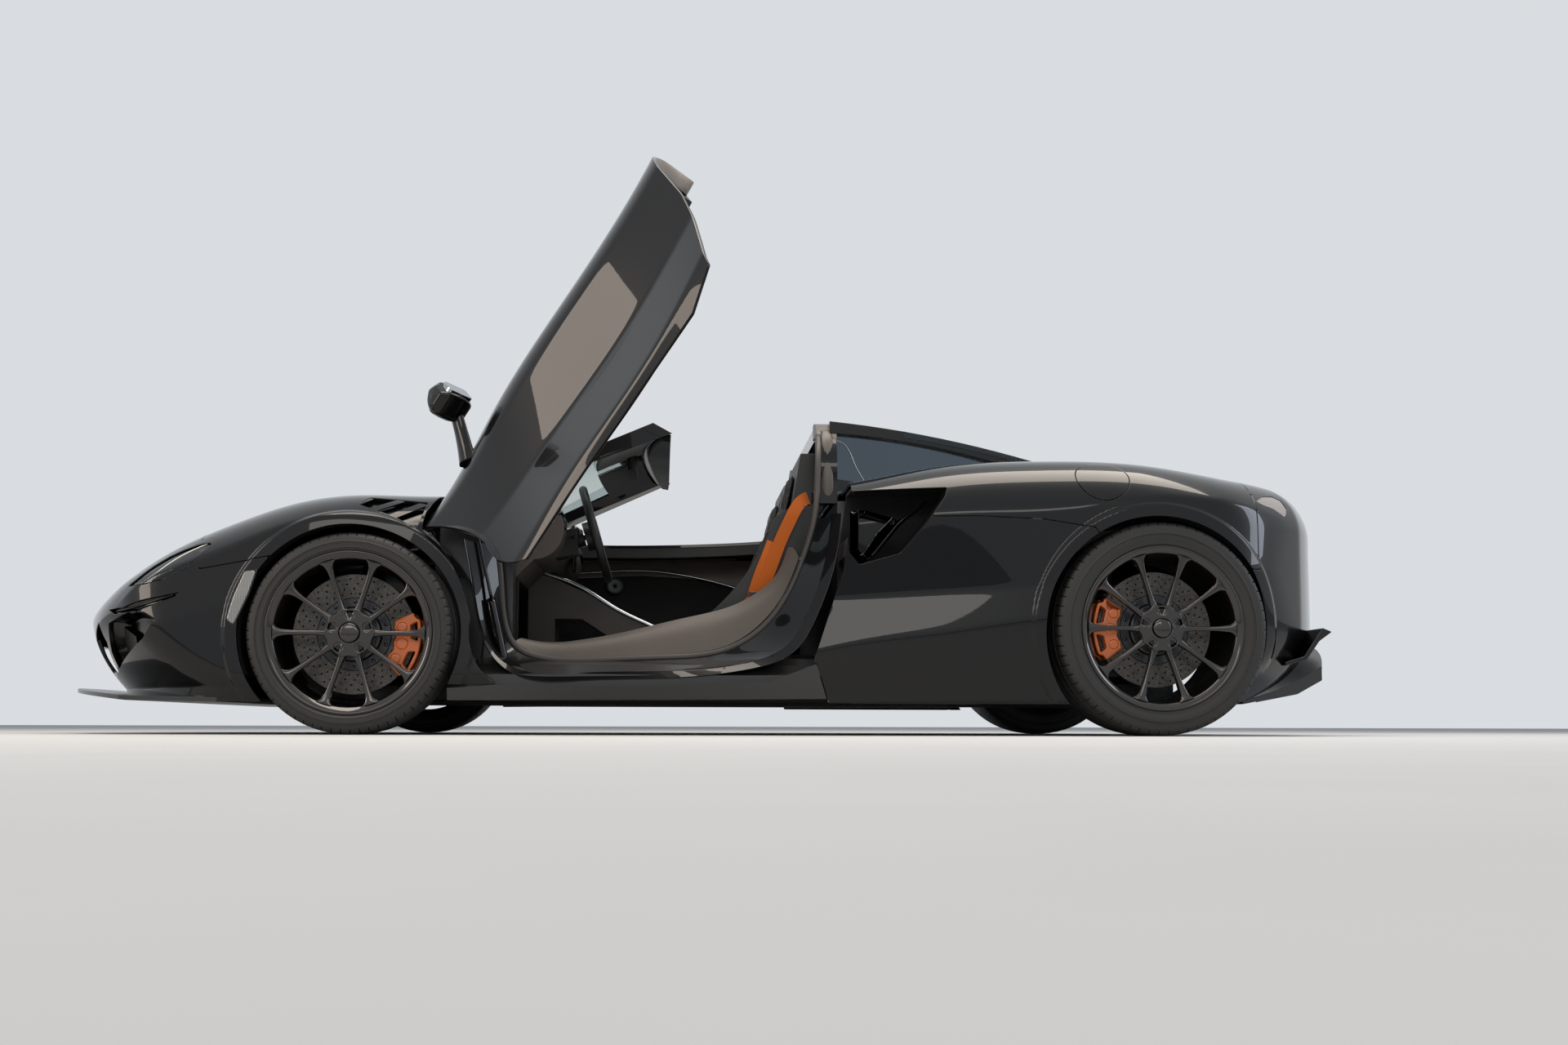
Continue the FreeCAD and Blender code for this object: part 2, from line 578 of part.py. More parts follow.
# Cabin: dashboard, console, seats.
COLUMN_TOP = Vector(440, 370, 716)
COLUMN_RUN = Vector(0.96, 0, -0.28).normalize()
DASH = [
    (944.7, 800), (760, 800), ("arc", (600, 792), (545, 735)), ("arc", (562, 640), (640, 600)),
    (700, 540), (944.7, 540),
]
dash = side_prism(DASH, -596, 596).common(body(38.0, 60.0))
dash = dash.cut(both(block((700 - seat, 961), (480 - seat, 516 + seat), (500, 700 + seat))))
column = Part.makeCylinder(30, 420, COLUMN_TOP + COLUMN_RUN * 42, COLUMN_RUN)
dash = dash.cut(both(cross_cylinder(liner_r + 4 + seat, front_x, 323, 519, 700)))
SHROUD = [(500, 640), (500, 735), (600, 715), (600, 620)]
dash = dash.cut(side_prism(SHROUD, 325 - seat, 415 + seat, seat))
dash = dash.cut(Part.makeCylinder(30 + seat, 700, COLUMN_TOP, COLUMN_RUN))
piece("dashboard", dash)
stub = Part.makeCylinder(10, 60, COLUMN_TOP - COLUMN_RUN * 8, COLUMN_RUN)
shroud = side_prism(SHROUD, 325, 415)
stalks = Part.makeCylinder(6, 240, Vector(520, 250, 700), Vector(0, 1, 0))
piece("steering_column", column.multiFuse([stub, shroud.Solids[0], stalks]))

CONSOLE = [
    (700, cabin_floor + seat), (700, 599), (640, 598), ("arc", (360, 470), (90, 330)),
    (-300, 300), (-394.7, 300), (-394.7, cabin_floor + seat),
]
console = side_prism(CONSOLE, -105, 105)
console = console.cut(side_prism([(600, 200), (600, 430), (500, 430), (330, 320), (330, 200)], -200, 200))
piece("centre_console", console.cut(dash))

SEAT_BACK = [
    (330, 205), (345, 250), ("arc", (80, 205), (-70, 250)), (-235, 700), (-280, 985),
    (-334, 985), (-326, 700), (-190, 200), (-150, 165), (300, 165),
]
SEAT_SIDE = [
    (330, 205), (345, 260), (250, 330), (60, 400), ("arc", (-60, 520), (-190, 760)), (-260, 800),
    (-330, 790), (-318, 700), (-190, 200), (-150, 165), (300, 165),
]
CUSHION = [(340, 262), (345, 300), ("arc", (120, 266), (-45, 305)), (-55, 262), ("arc", (85, 196), (340, 262))]
BACKREST = [(-66, 320), (-36, 345), (-205, 760), (-250, 960), (-281, 955), (-232, 705)]
seat_y = 365


def bucket(y):
    sides = [side_prism(SEAT_SIDE, y + low, y + low + 28) for low in (-243, 215)]
    legs = block((-100, 250), (y - 200, y + 200), (cabin_floor + seat, 170))
    return side_prism(SEAT_BACK, y - 216, y + 216).multiFuse(sides + [legs]).removeSplitter()


buckets = [bucket(y).Solids[0] for y in (seat_y, -seat_y)]
piece("seat_shells", Part.makeCompound(buckets))
padding = []
for y, shell in zip((seat_y, -seat_y), buckets):
    for outline_points in (CUSHION, BACKREST):
        pad_block = side_prism(outline_points, y - 214, y + 214).cut(shell)
        padding.append(max(pad_block.Solids, key=lambda solid: solid.Volume))
piece("seat_pads", Part.makeCompound(padding))

# Engine and gearbox as one plain block on the rear frame.
engine = block((-1090, -470), (-280, 280), (190 + seat, 640))
gearbox = block((-1720, -1080), (-170, 170), (190 + seat, 500))
piece("engine", engine.fuse(gearbox).removeSplitter())


# A bar between two points, of a width along the first and a thickness up.
def bar(start, end, width, low, high):
    run = Vector(end[0] - start[0], end[1] - start[1], 0)
    across = Vector(-run.y, run.x, 0).normalize() * (width / 2)
    a, b = Vector(start[0], start[1], low), Vector(end[0], end[1], low)
    edge = [a + across, b + across, b - across, a - across, a + across]
    return Part.Face(Part.makePolygon(edge)).extrude(Vector(0, 0, high - low))


def disc_at(x, y, radius, low, high):
    return Part.makeCylinder(radius, high - low, Vector(x, y, low), Vector(0, 0, 1))


kingpin_y = front_y - 90
knuckle_low = size("front_tyre_radius") - 130
knuckle_high = size("front_tyre_radius") + 130
arms = [
    disc_at(front_x, kingpin_y, 22, 168, knuckle_low - seat),
    disc_at(front_x, kingpin_y, 20, knuckle_high + seat, 476),
]
for reach in (-110, 110):
    arms.append(bar((front_x, kingpin_y), (front_x + reach, 330 + seat), 30, 168, knuckle_low - seat))
for reach in (-75, 75):
    arms.append(bar((front_x, kingpin_y), (front_x + reach, 520), 24, knuckle_high + seat, 476))
damper = Part.makeCylinder(30, 440, Vector(front_x, 640, 180), Vector(0, -85, 440))
damper_foot = block((front_x - 60, front_x + 60), (620, 660), (168, knuckle_low - seat))
damper_head = block((front_x - 30, front_x + 30), (520, 570), (590, 640))
front_set = arms[0].multiFuse([arms[2], arms[3], damper_foot, damper, damper_head])
front_set = front_set.common(block((900, 1500), (330 + seat, 900), (100, 900)))
upper_set = arms[1].multiFuse(arms[4:]).common(block((900, 1500), (520, 900), (100, 900)))
rack = Part.makeCylinder(24, 620, Vector(1010, -310, 325), Vector(0, 1, 0))
rack = rack.fuse(block((990, 1030), (-200, 200), (300 + seat, 325)))
piece("suspension_front", Part.makeCompound(both(front_set).Solids + both(upper_set).Solids + rack.Solids))

rear_hub_z = size("rear_tyre_radius")
plate = block((-1700, -1180), (285, 305), (tub_low, 560))
plate = plate.cut(block((-1640, -1500), (200, 400), (250, 480))).cut(block((-1400, -1240), (200, 400), (250, 480)))
rear_set = [plate]
for reach in (-170, 170):
    for low, high in ((180, rear_hub_z - 150 - seat), (rear_hub_z + 150 + seat, 530)):
        rear_set.append(bar((rear_x, 690), (rear_x + reach, 295), 34, low, high))
rear_set.append(disc_at(rear_x, 690, 30, 180, rear_hub_z - 150 - seat))
rear_set.append(disc_at(rear_x, 690, 30, rear_hub_z + 150 + seat, 530))
rear_set.append(Part.makeCylinder(32, 430, Vector(rear_x, 620, 195), Vector(0, -300, 330)))
leg_x = (rear_x - 20, rear_x + 20)
rear_set.append(block(leg_x, (285, 305), (540, 758)))
rear_set.append(block(leg_x, (285, 700), (738 + seat, 758)))
left_frame = rear_set[0].multiFuse(rear_set[1:])
cross = [block((low, low + 40), (-300, 300), (160, 190)) for low in (-1640, -1240)]
cross.append(block(leg_x, (-300, 300), (738 + seat, 758)))
frame = left_frame.multiFuse([mirrored(left_frame)] + cross)
piece("suspension_rear", frame)

# The pieces below are parametric bodies whose sketches are bound to the sheet.
def plane(holder, role):
    return next(item for item in holder.Origin.OriginFeatures if item.Role == role)


def number(expression):
    return float(sheet.evalExpression(expression))


def sketch(holder, role, name):
    made = holder.newObject("Sketcher::SketchObject", name)
    made.AttachmentSupport = [(plane(holder, role), "")]
    made.MapMode = "FlatFace"
    return made


# A closed outline whose corners are pairs of sheet expressions.
def outline(made, corners):
    spots = [Vector(number(across), number(up), 0) for across, up in corners]
    count = len(spots)
    for index in range(count):
        made.addGeometry(Part.LineSegment(spots[index], spots[(index + 1) % count]))
    for index in range(count):
        made.addConstraint(Sketcher.Constraint("Coincident", index, 2, (index + 1) % count, 1))
    for index, (across, up) in enumerate(corners):
        for kind, expression in (("DistanceX", across), ("DistanceY", up)):
            level = Sketcher.Constraint(kind, -1, 1, index, 1, number(expression))
            at = made.addConstraint(level)
            made.setExpression("Constraints[%d]" % at, expression)


def turned(holder, made, name):
    feature = holder.newObject("PartDesign::Revolution", name)
    feature.Profile = made
    feature.ReferenceAxis = (made, ["H_Axis"])
    feature.Angle = 360
    return feature


def pattern(holder, original, name, count):
    feature = holder.newObject("PartDesign::PolarPattern", name)
    feature.Originals = [original]
    feature.Axis = (plane(holder, "Y_Axis"), [""])
    feature.Angle = 360
    feature.setExpression("Occurrences", count)
    holder.Tip = feature
    return feature


def started(label):
    holder = doc.addObject("PartDesign::Body", label)
    holder.Label = label
    return holder


def pad(holder, label, corners, front, length):
    made = sketch(holder, "XZ_Plane", label + "_outline")
    made.setExpression("AttachmentOffset.Base.z", "-(%s)" % front)
    outline(made, corners)
    feature = holder.newObject("PartDesign::Pad", label)
    feature.Profile = made
    feature.setExpression("Length", length)
    doc.recompute()
    return feature


def flipped(corners):
    return [("-(%s)" % across, up) for across, up in corners[::-1]]


# Wheel pieces are drawn with the wheel's middle at the origin and +Y outboard.
def tyre(label, end):
    radius, width, bead = ["sizes.%s_%s" % (end, what) for what in ("tyre_radius", "tyre_width", "bead_radius")]
    half = width + " / 2"
    belly = "%s + (%s - %s) * 0.5" % (bead, radius, bead)
    side = [
        (half + " - 19.4", bead), (half + " - 19.4", bead + " + 24"), (half, belly),
        (half + " - 6", radius + " - 14"), (half + " - 20", radius + " - 4"),
        (half + " - 60", radius),
    ]
    inside = [
        (half + " - 70", radius + " - 13"), (half + " - 22", radius + " - 18"),
        (half + " - 12", belly), (half + " - 34", bead + " + 20"), (half + " - 34", bead),
    ]
    holder = started(label)
    made = sketch(holder, "YZ_Plane", label + "_profile")
    outline(made, side + flipped(side) + flipped(inside) + inside)
    turned(holder, made, label + "_carcass")
    return holder


def rim(label, end):
    width, bead = ["sizes.%s_%s" % (end, what) for what in ("tyre_width", "bead_radius")]
    face = "sizes.%s_spoke_face" % end
    mount = "sizes.%s_disc_face" % end
    half = width + " / 2 - 4"
    bore = "sizes.stub_radius + sizes.running_gap"
    inner = bead + " - sizes.rim_wall"
    holder = started(label)
    barrel = sketch(holder, "YZ_Plane", label + "_barrel_profile")
    edge = [(half, inner), (half, bead + " + 20"), (half + " - 7", bead + " + 20"), (half + " - 15", bead)]
    outline(barrel, edge + flipped(edge))
    turned(holder, barrel, label + "_barrel")
    plate = sketch(holder, "XZ_Plane", label + "_spoke_outline")
    plate.setExpression("AttachmentOffset.Base.z", "-(%s)" % face)
    flank = [
        ("sizes.spoke_tip / 2", inner + " + 3"), ("sizes.spoke_root / 2 - 3", bead + " * 0.62"),
        ("sizes.spoke_root / 2", "sizes.hub_radius - 12"),
    ]
    outline(plate, flank + flipped(flank))
    spoke = holder.newObject("PartDesign::Pad", label + "_spoke")
    spoke.Profile = plate
    spoke.setExpression("Length", "sizes.spoke_depth")
    doc.recompute()
    pattern(holder, spoke, label + "_spokes", "sizes.spoke_count")
    boss = sketch(holder, "YZ_Plane", label + "_boss_profile")
    outline(boss, [
        (mount, bore), (mount, "sizes.hub_radius"), (face, "sizes.hub_radius"),
        (face + " + 6", "sizes.hub_radius - 14"), (face + " + 6", "28"), (face + " + 9", "26"),
        (face + " + 9", "0"), (mount + " + 32", "0"), (mount + " + 32", bore),
    ])
    turned(holder, boss, label + "_boss")
    lug = sketch(holder, "XZ_Plane", label + "_lug_outline")
    lug.setExpression("AttachmentOffset.Base.z", "-(%s - 22)" % face)
    middle, radius = "sizes.lug_circle_radius", "sizes.lug_hole_radius"
    lug.addGeometry(Part.Circle(Vector(0, number(middle), 0), Vector(0, 0, 1), number(radius)))
    lug.addConstraint(Sketcher.Constraint("PointOnObject", 0, 3, -2))
    at = lug.addConstraint(Sketcher.Constraint("DistanceY", -1, 1, 0, 3, number(middle)))
    lug.setExpression("Constraints[%d]" % at, middle)
    at = lug.addConstraint(Sketcher.Constraint("Radius", 0, number(radius)))
    lug.setExpression("Constraints[%d]" % at, radius)
    hole = holder.newObject("PartDesign::Pocket", label + "_lug")
    hole.Profile = lug
    hole.Length = 34
    doc.recompute()
    pattern(holder, hole, label + "_lugs", "sizes.lug_count")
    return holder


def brake_disc(label, end):
    mount = "sizes.%s_disc_face" % end
    bore = "sizes.stub_radius + sizes.running_gap"
    outer_face = mount + " - 16"
    inner_face = mount + " - 16 - sizes.disc_thickness"
    hat = "sizes.disc_hat_radius"
    holder = started(label)
    made = sketch(holder, "YZ_Plane", label + "_profile")
    outline(made, [
        (inner_face, "sizes.disc_inner_radius"), (inner_face, "sizes.disc_radius"),
        (outer_face, "sizes.disc_radius"), (outer_face, hat), (mount, hat), (mount, bore),
        (mount + " - 8", bore), (mount + " - 8", hat + " - 8"), (outer_face + " - 10", hat + " - 8"),
        (outer_face + " - 10", "sizes.disc_inner_radius"),
    ])
    turned(holder, made, label + "_plate")
    return holder


# A caliper is a sector of a drum, slotted for the disc.
def caliper(label, end):
    mount = "sizes.%s_disc_face" % end
    low, high = "-16 - sizes.disc_thickness", "-16"
    drums = []
    for name, radius, start, stop in (
            ("outside", "sizes.caliper_outer_radius", low + " - 42", high + " + 36"),
            ("inside", "sizes.caliper_inner_radius", low + " - 44", high + " + 38"),
            ("slot", "sizes.disc_radius + sizes.caliper_gap", low + " - sizes.caliper_gap",
             high + " + sizes.caliper_gap")):
        drum = doc.addObject("Part::Cylinder", "%s_%s" % (label, name))
        drum.setExpression("Radius", radius)
        drum.setExpression("Height", "(%s) - (%s)" % (stop, start))
        if name == "outside":
            drum.setExpression("Angle", "sizes.caliper_angle")
        drum.Placement = Placement(Vector(0, 0, 0), Rotation(Vector(1, 0, 0), -90))
        drum.setExpression("Placement.Base.y", "%s + (%s)" % (mount, start))
        drums.append(drum)
    ring_cut = doc.addObject("Part::Cut", label + "_ring")
    ring_cut.Base, ring_cut.Tool = drums[0], drums[1]
    done = doc.addObject("Part::Cut", label)
    done.Label = label
    done.Base, done.Tool = ring_cut, drums[2]
    return done


# The hub carrier of one corner, with the stub that the wheel turns on.
def knuckle(label, end):
    mount = "sizes.%s_disc_face" % end
    stub_r = "sizes.stub_radius"
    bracket_face = mount + " - 58 - sizes.disc_thickness - sizes.seat_gap"
    holder = started(label)
    made = sketch(holder, "YZ_Plane", label + "_carrier_profile")
    outline(made, [
        ("-75", "0"), ("-75", "48"), (mount + " - 12", "48"), (mount + " - 12", stub_r),
        (mount + " + 28", stub_r), (mount + " + 28", "0"),
    ])
    turned(holder, made, label + "_carrier")
    if end == "front":
        pad(holder, label + "_upright", [("-32", "-130"), ("32", "-130"), ("32", "130"), ("-32", "130")],
            "-74", "36")
        pad(holder, label + "_bracket", [("-185", "-75"), ("30", "-40"), ("30", "20"), ("-185", "10")],
            bracket_face, "22.7")
        pad(holder, label + "_arm", [("20", "-45"), ("120", "-30"), ("120", "-12"), ("20", "-5")],
            "-95", "15")
    else:
        pad(holder, label + "_upright", [("-60", "-150"), ("60", "-150"), ("60", "150"), ("-60", "150")],
            "-74", "76")
        pad(holder, label + "_bracket", [("0", "-30"), ("185", "-35"), ("185", "35"), ("0", "30")],
            bracket_face, "45")
    return holder


def mirror_of(source, label):
    other = doc.addObject("Part::Mirroring", label)
    other.Label = label
    other.Source = source
    other.Normal = Vector(0, 1, 0)
    return other


def pair_of(source, label):
    couple = doc.addObject("Part::Compound", label)
    couple.Label = label
    couple.Links = [source, mirror_of(source, label + "_right")]
    return couple


for end, caliper_turn in (("front", 138.0), ("rear", -31.0)):
    across = "sizes.%s_track / 2" % end
    along = "sizes.front_axle_x" + (" - sizes.wheelbase" if end == "rear" else "")
    for maker, noun, turn in ((tyre, "tyre", 0), (rim, "rim", 0), (brake_disc, "brake_disc", 0),
                              (caliper, "caliper", caliper_turn), (knuckle, "knuckle", 0)):
        carried = noun in ("caliper", "knuckle")
        label = "%s_%s_left" % (noun, end)
        made = maker(label, end)
        made.Placement = Placement(Vector(0, 0, 0), Rotation(Vector(0, 1, 0), turn))
        made.setExpression("Placement.Base.x", along)
        made.setExpression("Placement.Base.y", across)
        made.setExpression("Placement.Base.z", "sizes.%s_tyre_radius" % end)
        if carried and end == "rear":
            pieces.append(pair_of(made, "%ss_rear" % noun))
        else:
            pieces.extend([made, mirror_of(made, label.replace("left", "right"))])

# Steering wheel: rim, hub and three spokes, bored for the column's stub.
grip = doc.addObject("Part::Torus", "steering_grip_ring")
grip.setExpression("Radius1", "sizes.steering_radius")
grip.setExpression("Radius2", "sizes.steering_grip")
hub = doc.addObject("Part::Cylinder", "steering_hub")
hub.Radius, hub.Height = 52, 54
hub.Placement.Base = Vector(0, 0, -38)
level_spoke = doc.addObject("Part::Box", "steering_level_spoke")
level_spoke.setExpression("Width", "2 * sizes.steering_radius - 6")
level_spoke.Length, level_spoke.Height = 26, 13
level_spoke.setExpression("Placement.Base.y", "3 - sizes.steering_radius")
level_spoke.Placement.Base.x = -16
level_spoke.Placement.Base.z = -8
lower_spoke = doc.addObject("Part::Box", "steering_lower_spoke")
lower_spoke.setExpression("Length", "sizes.steering_radius - 3")
lower_spoke.Width, lower_spoke.Height = 34, 13
lower_spoke.setExpression("Placement.Base.x", "3 - sizes.steering_radius")
lower_spoke.Placement.Base.y = -17
lower_spoke.Placement.Base.z = -8
whole = doc.addObject("Part::MultiFuse", "steering_whole")
whole.Shapes = [grip, hub, level_spoke, lower_spoke]
bore = doc.addObject("Part::Cylinder", "steering_bore")
bore.Radius, bore.Height = 10.05, 49
bore.Placement.Base = Vector(0, 0, -40)
steering = doc.addObject("Part::Cut", "steering_wheel")
steering.Label = "steering_wheel"
steering.Base, steering.Tool = whole, bore
steering.Placement = Placement(COLUMN_TOP, Rotation(Vector(0, 0, 1), COLUMN_RUN * -1))
pieces.append(steering)

os.makedirs("parts", exist_ok=True)
doc.recompute()
for part in pieces:
    shape = part.Shape
    state = [flag for flag in part.State if flag in ("Invalid", "Error")]
    if state or shape.isNull() or not shape.isValid():
        raise RuntimeError("%s did not build: %s" % (part.Label, state))
    print(part.Label, len(shape.Solids), len(shape.Faces), round(shape.Volume / 1e6, 2))
    shape.exportStep("parts/%s.step" % part.Label)
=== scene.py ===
import math
import bpy
import numpy as np
from mathutils import Matrix, Vector
from mathutils.geometry import delaunay_2d_cdt


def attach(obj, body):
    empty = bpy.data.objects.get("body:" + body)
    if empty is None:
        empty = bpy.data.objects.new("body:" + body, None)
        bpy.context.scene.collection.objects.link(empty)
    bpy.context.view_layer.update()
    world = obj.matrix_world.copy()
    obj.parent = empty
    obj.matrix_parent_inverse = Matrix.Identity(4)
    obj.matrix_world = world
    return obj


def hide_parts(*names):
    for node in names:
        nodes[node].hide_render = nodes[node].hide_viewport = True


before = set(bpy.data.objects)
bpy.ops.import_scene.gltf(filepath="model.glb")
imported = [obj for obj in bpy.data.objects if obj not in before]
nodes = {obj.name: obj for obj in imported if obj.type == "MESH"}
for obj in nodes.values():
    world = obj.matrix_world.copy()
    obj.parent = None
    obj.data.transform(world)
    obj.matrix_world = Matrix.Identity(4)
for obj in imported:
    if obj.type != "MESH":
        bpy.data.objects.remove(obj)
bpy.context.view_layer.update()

# The camera stands on the ground at the car's left, nearly square to it, with a
# moderate wide lens. The lens is shifted so that the ground fills the picture's foot.
YAW = math.radians(4.637)
PITCH = math.radians(4.113)
ROLL = math.radians(0.135)
level = Vector((-math.sin(YAW), -math.cos(YAW), 0.0))
aside = Vector((-math.cos(YAW), math.sin(YAW), 0.0))
forward = level * math.cos(PITCH) + Vector((0, 0, 1)) * math.sin(PITCH)
upward = Vector((0, 0, 1)) * math.cos(PITCH) - level * math.sin(PITCH)
right = aside * math.cos(ROLL) + upward * math.sin(ROLL)
above = upward * math.cos(ROLL) - aside * math.sin(ROLL)
camera = bpy.data.objects.new("camera", bpy.data.cameras.new("camera"))
camera.data.lens = 34.92
camera.data.sensor_width = 36.0
camera.data.shift_y = 0.0603
camera.data.clip_end = 200.0
turn = Matrix((right, above, -forward)).transposed().to_4x4()
camera.matrix_world = Matrix.Translation((0.204, 5.839, 0.030)) @ turn
bpy.context.collection.objects.link(camera)
bpy.context.scene.camera = camera
bpy.context.scene.view_settings.view_transform = "Standard"


# Colours are written as sRGB hex and turned to linear here.
def linear(hex_colour):
    channels = [int(hex_colour[i:i + 2], 16) / 255.0 for i in (1, 3, 5)]
    return tuple(c / 12.92 if c <= 0.04045 else ((c + 0.055) / 1.055) ** 2.4 for c in channels) + (1.0,)


# Adds a node with its settings; inputs are values, or sockets to link from.
def add(tree, kind, settings=None, **inputs):
    made = tree.nodes.new("ShaderNode" + kind)
    for key, value in (settings or {}).items():
        setattr(made, key, value)
    for key, value in inputs.items():
        numbered = key[0] == "_" and key[1:].isdigit()
        socket = made.inputs[int(key[1:]) if numbered else key.replace("_", " ")]
        if isinstance(value, bpy.types.NodeSocket):
            tree.links.new(value, socket)
        else:
            socket.default_value = value
    return made


# A new material with an empty node tree.
def material(name):
    made = bpy.data.materials.new(name)
    made.use_nodes = True
    tree = made.node_tree
    tree.nodes.clear()
    return made, tree


# A texture that is laid on in the object's own space.
def texture(tree, kind, settings=None, **inputs):
    return add(tree, "Tex" + kind, settings, Vector=add(tree, "TexCoord").outputs["Object"], **inputs)


# Runs from one colour to another with a value.
def blend(tree, value, dark, pale):
    made = add(tree, "ValToRGB", Fac=value)
    for stop, colour in zip(made.color_ramp.elements, (dark, pale)):
        stop.color = linear(colour)
    return made.outputs["Color"]


# Gives a material its shader.
def finished(made, **inputs):
    tree = made.node_tree
    shader = add(tree, "BsdfPrincipled", **inputs)
    add(tree, "OutputMaterial", Surface=shader.outputs[0])
    return made


# A material that wanders between two tones of a colour as one texture does.
def two_tone(name, kind, pattern, dark, pale, **inputs):
    made, tree = material(name)
    wander = texture(tree, kind, **pattern).outputs["Fac"]
    return finished(made, Base_Color=blend(tree, wander, dark, pale), **inputs)


# Studio: a pale matt floor that runs to the horizon, under an even pale background. The
# object is lit by the world at a lower level; the camera, metal and glass see it pale.
floor_paint = two_tone("studio_floor_paint", "Noise", {"Scale": 3.0, "Detail": 6.0}, "#c9cbcd", "#d1d3d5",
                       Roughness=0.9)
floor = bpy.data.objects.new("studio_floor", bpy.data.meshes.new("studio_floor"))
floor.data.from_pydata([(-90, -90, 0), (90, -90, 0), (90, 90, 0), (-90, 90, 0)], [], [(0, 1, 2, 3)])
floor.data.materials.append(floor_paint)
bpy.context.collection.objects.link(floor)

world = bpy.data.worlds.new("studio")
world.use_nodes = True
tree = world.node_tree
tree.nodes.clear()
rays = add(tree, "LightPath").outputs
seen = rays["Is Camera Ray"]
for kind in ("Is Transmission Ray", "Is Glossy Ray"):
    seen = add(tree, "Math", {"operation": "MAXIMUM"}, _0=seen, _1=rays[kind]).outputs[0]
plain = add(tree, "Background", Color=linear("#dfe5ea"), Strength=0.42)
pale = add(tree, "Background", Color=linear("#d9dde1"), Strength=1.0)
mixed = add(tree, "MixShader", _0=seen, _1=plain.outputs[0], _2=pale.outputs[0])
add(tree, "OutputWorld", Surface=mixed.outputs[0])
bpy.context.scene.world = world


# Soft boxes, each aimed at a target: a long one overhead, one ahead of the nose, one behind
# the tail and a long one at the camera's side.
def softbox(name, place, target, width, height, watts, colour):
    light = bpy.data.lights.new(name, "AREA")
    light.shape = "RECTANGLE"
    light.size, light.size_y = width, height
    light.energy = watts
    light.color = linear(colour)[:3]
    made = bpy.data.objects.new(name, light)
    made.location = place
    made.rotation_euler = (Vector(target) - Vector(place)).to_track_quat("-Z", "Y").to_euler()
    bpy.context.collection.objects.link(made)
    return made


softbox("overhead_box", (-0.4, 1.0, 5.2), (0, 0, 0.5), 7.0, 2.2, 330, "#fff4e6")
softbox("front_box", (6.5, 3.5, 2.6), (1.0, 0.4, 0.6), 1.6, 3.4, 120, "#ffeedd")
softbox("rear_box", (-7.0, 2.5, 3.0), (-1.0, 0, 0.6), 1.6, 3.0, 90, "#e6f0ff")
softbox("side_box", (0.6, 8.6, 3.4), (0, 0.5, 0.5), 8.0, 1.2, 120, "#fff8f0")


# Body paint: black lacquer with bronze mica under a clear coat. The flakes are really
# 0.1 mm across and are drawn at 1.2 mm, the smallest that shows.
def black_flake_lacquer(name, rounding):
    made, tree = material(name)
    cells = texture(tree, "Voronoi", Scale=1000 / 1.2)
    sparkle = add(tree, "MapRange", Value=cells.outputs["Distance"], _1=0.06, _2=0.22, _3=1.0, _4=0.0)
    chosen = add(tree, "MapRange", Value=cells.outputs["Color"], _1=0.84, _2=0.90)
    flake = add(tree, "Math", {"operation": "MULTIPLY"}, _0=sparkle.outputs[0], _1=chosen.outputs[0])
    colour = add(tree, "Mix", {"data_type": "RGBA"}, Factor=flake.outputs[0])
    colour.inputs[6].default_value = linear("#08080a")
    colour.inputs[7].default_value = linear("#6e4a2c")
    shader = add(tree, "BsdfPrincipled", Base_Color=colour.outputs[2], Metallic=flake.outputs[0],
                 Roughness=0.3, Coat_Weight=1.0, Coat_Roughness=0.015)
    shader.inputs["Coat IOR"].default_value = 1.34
    shader.inputs["Specular IOR Level"].default_value = 0.1
    if rounding:
        rounded = add(tree, "Bevel", {"samples": 4}, Radius=rounding)
        tree.links.new(rounded.outputs[0], shader.inputs["Normal"])
        tree.links.new(rounded.outputs[0], shader.inputs["Coat Normal"])
    add(tree, "OutputMaterial", Surface=shader.outputs[0])
    return made


paint = black_flake_lacquer("black_flake_lacquer", 0)
edged_paint = black_flake_lacquer("black_flake_lacquer_cad_edges", 0.003)


# Gives carried-over CAD nodes a finish of this file.
def painted(finish, *labels):
    for label in labels:
        nodes[label].data.materials.clear()
        nodes[label].data.materials.append(finish)


painted(edged_paint, "windscreen_frame", "roll_hoop")

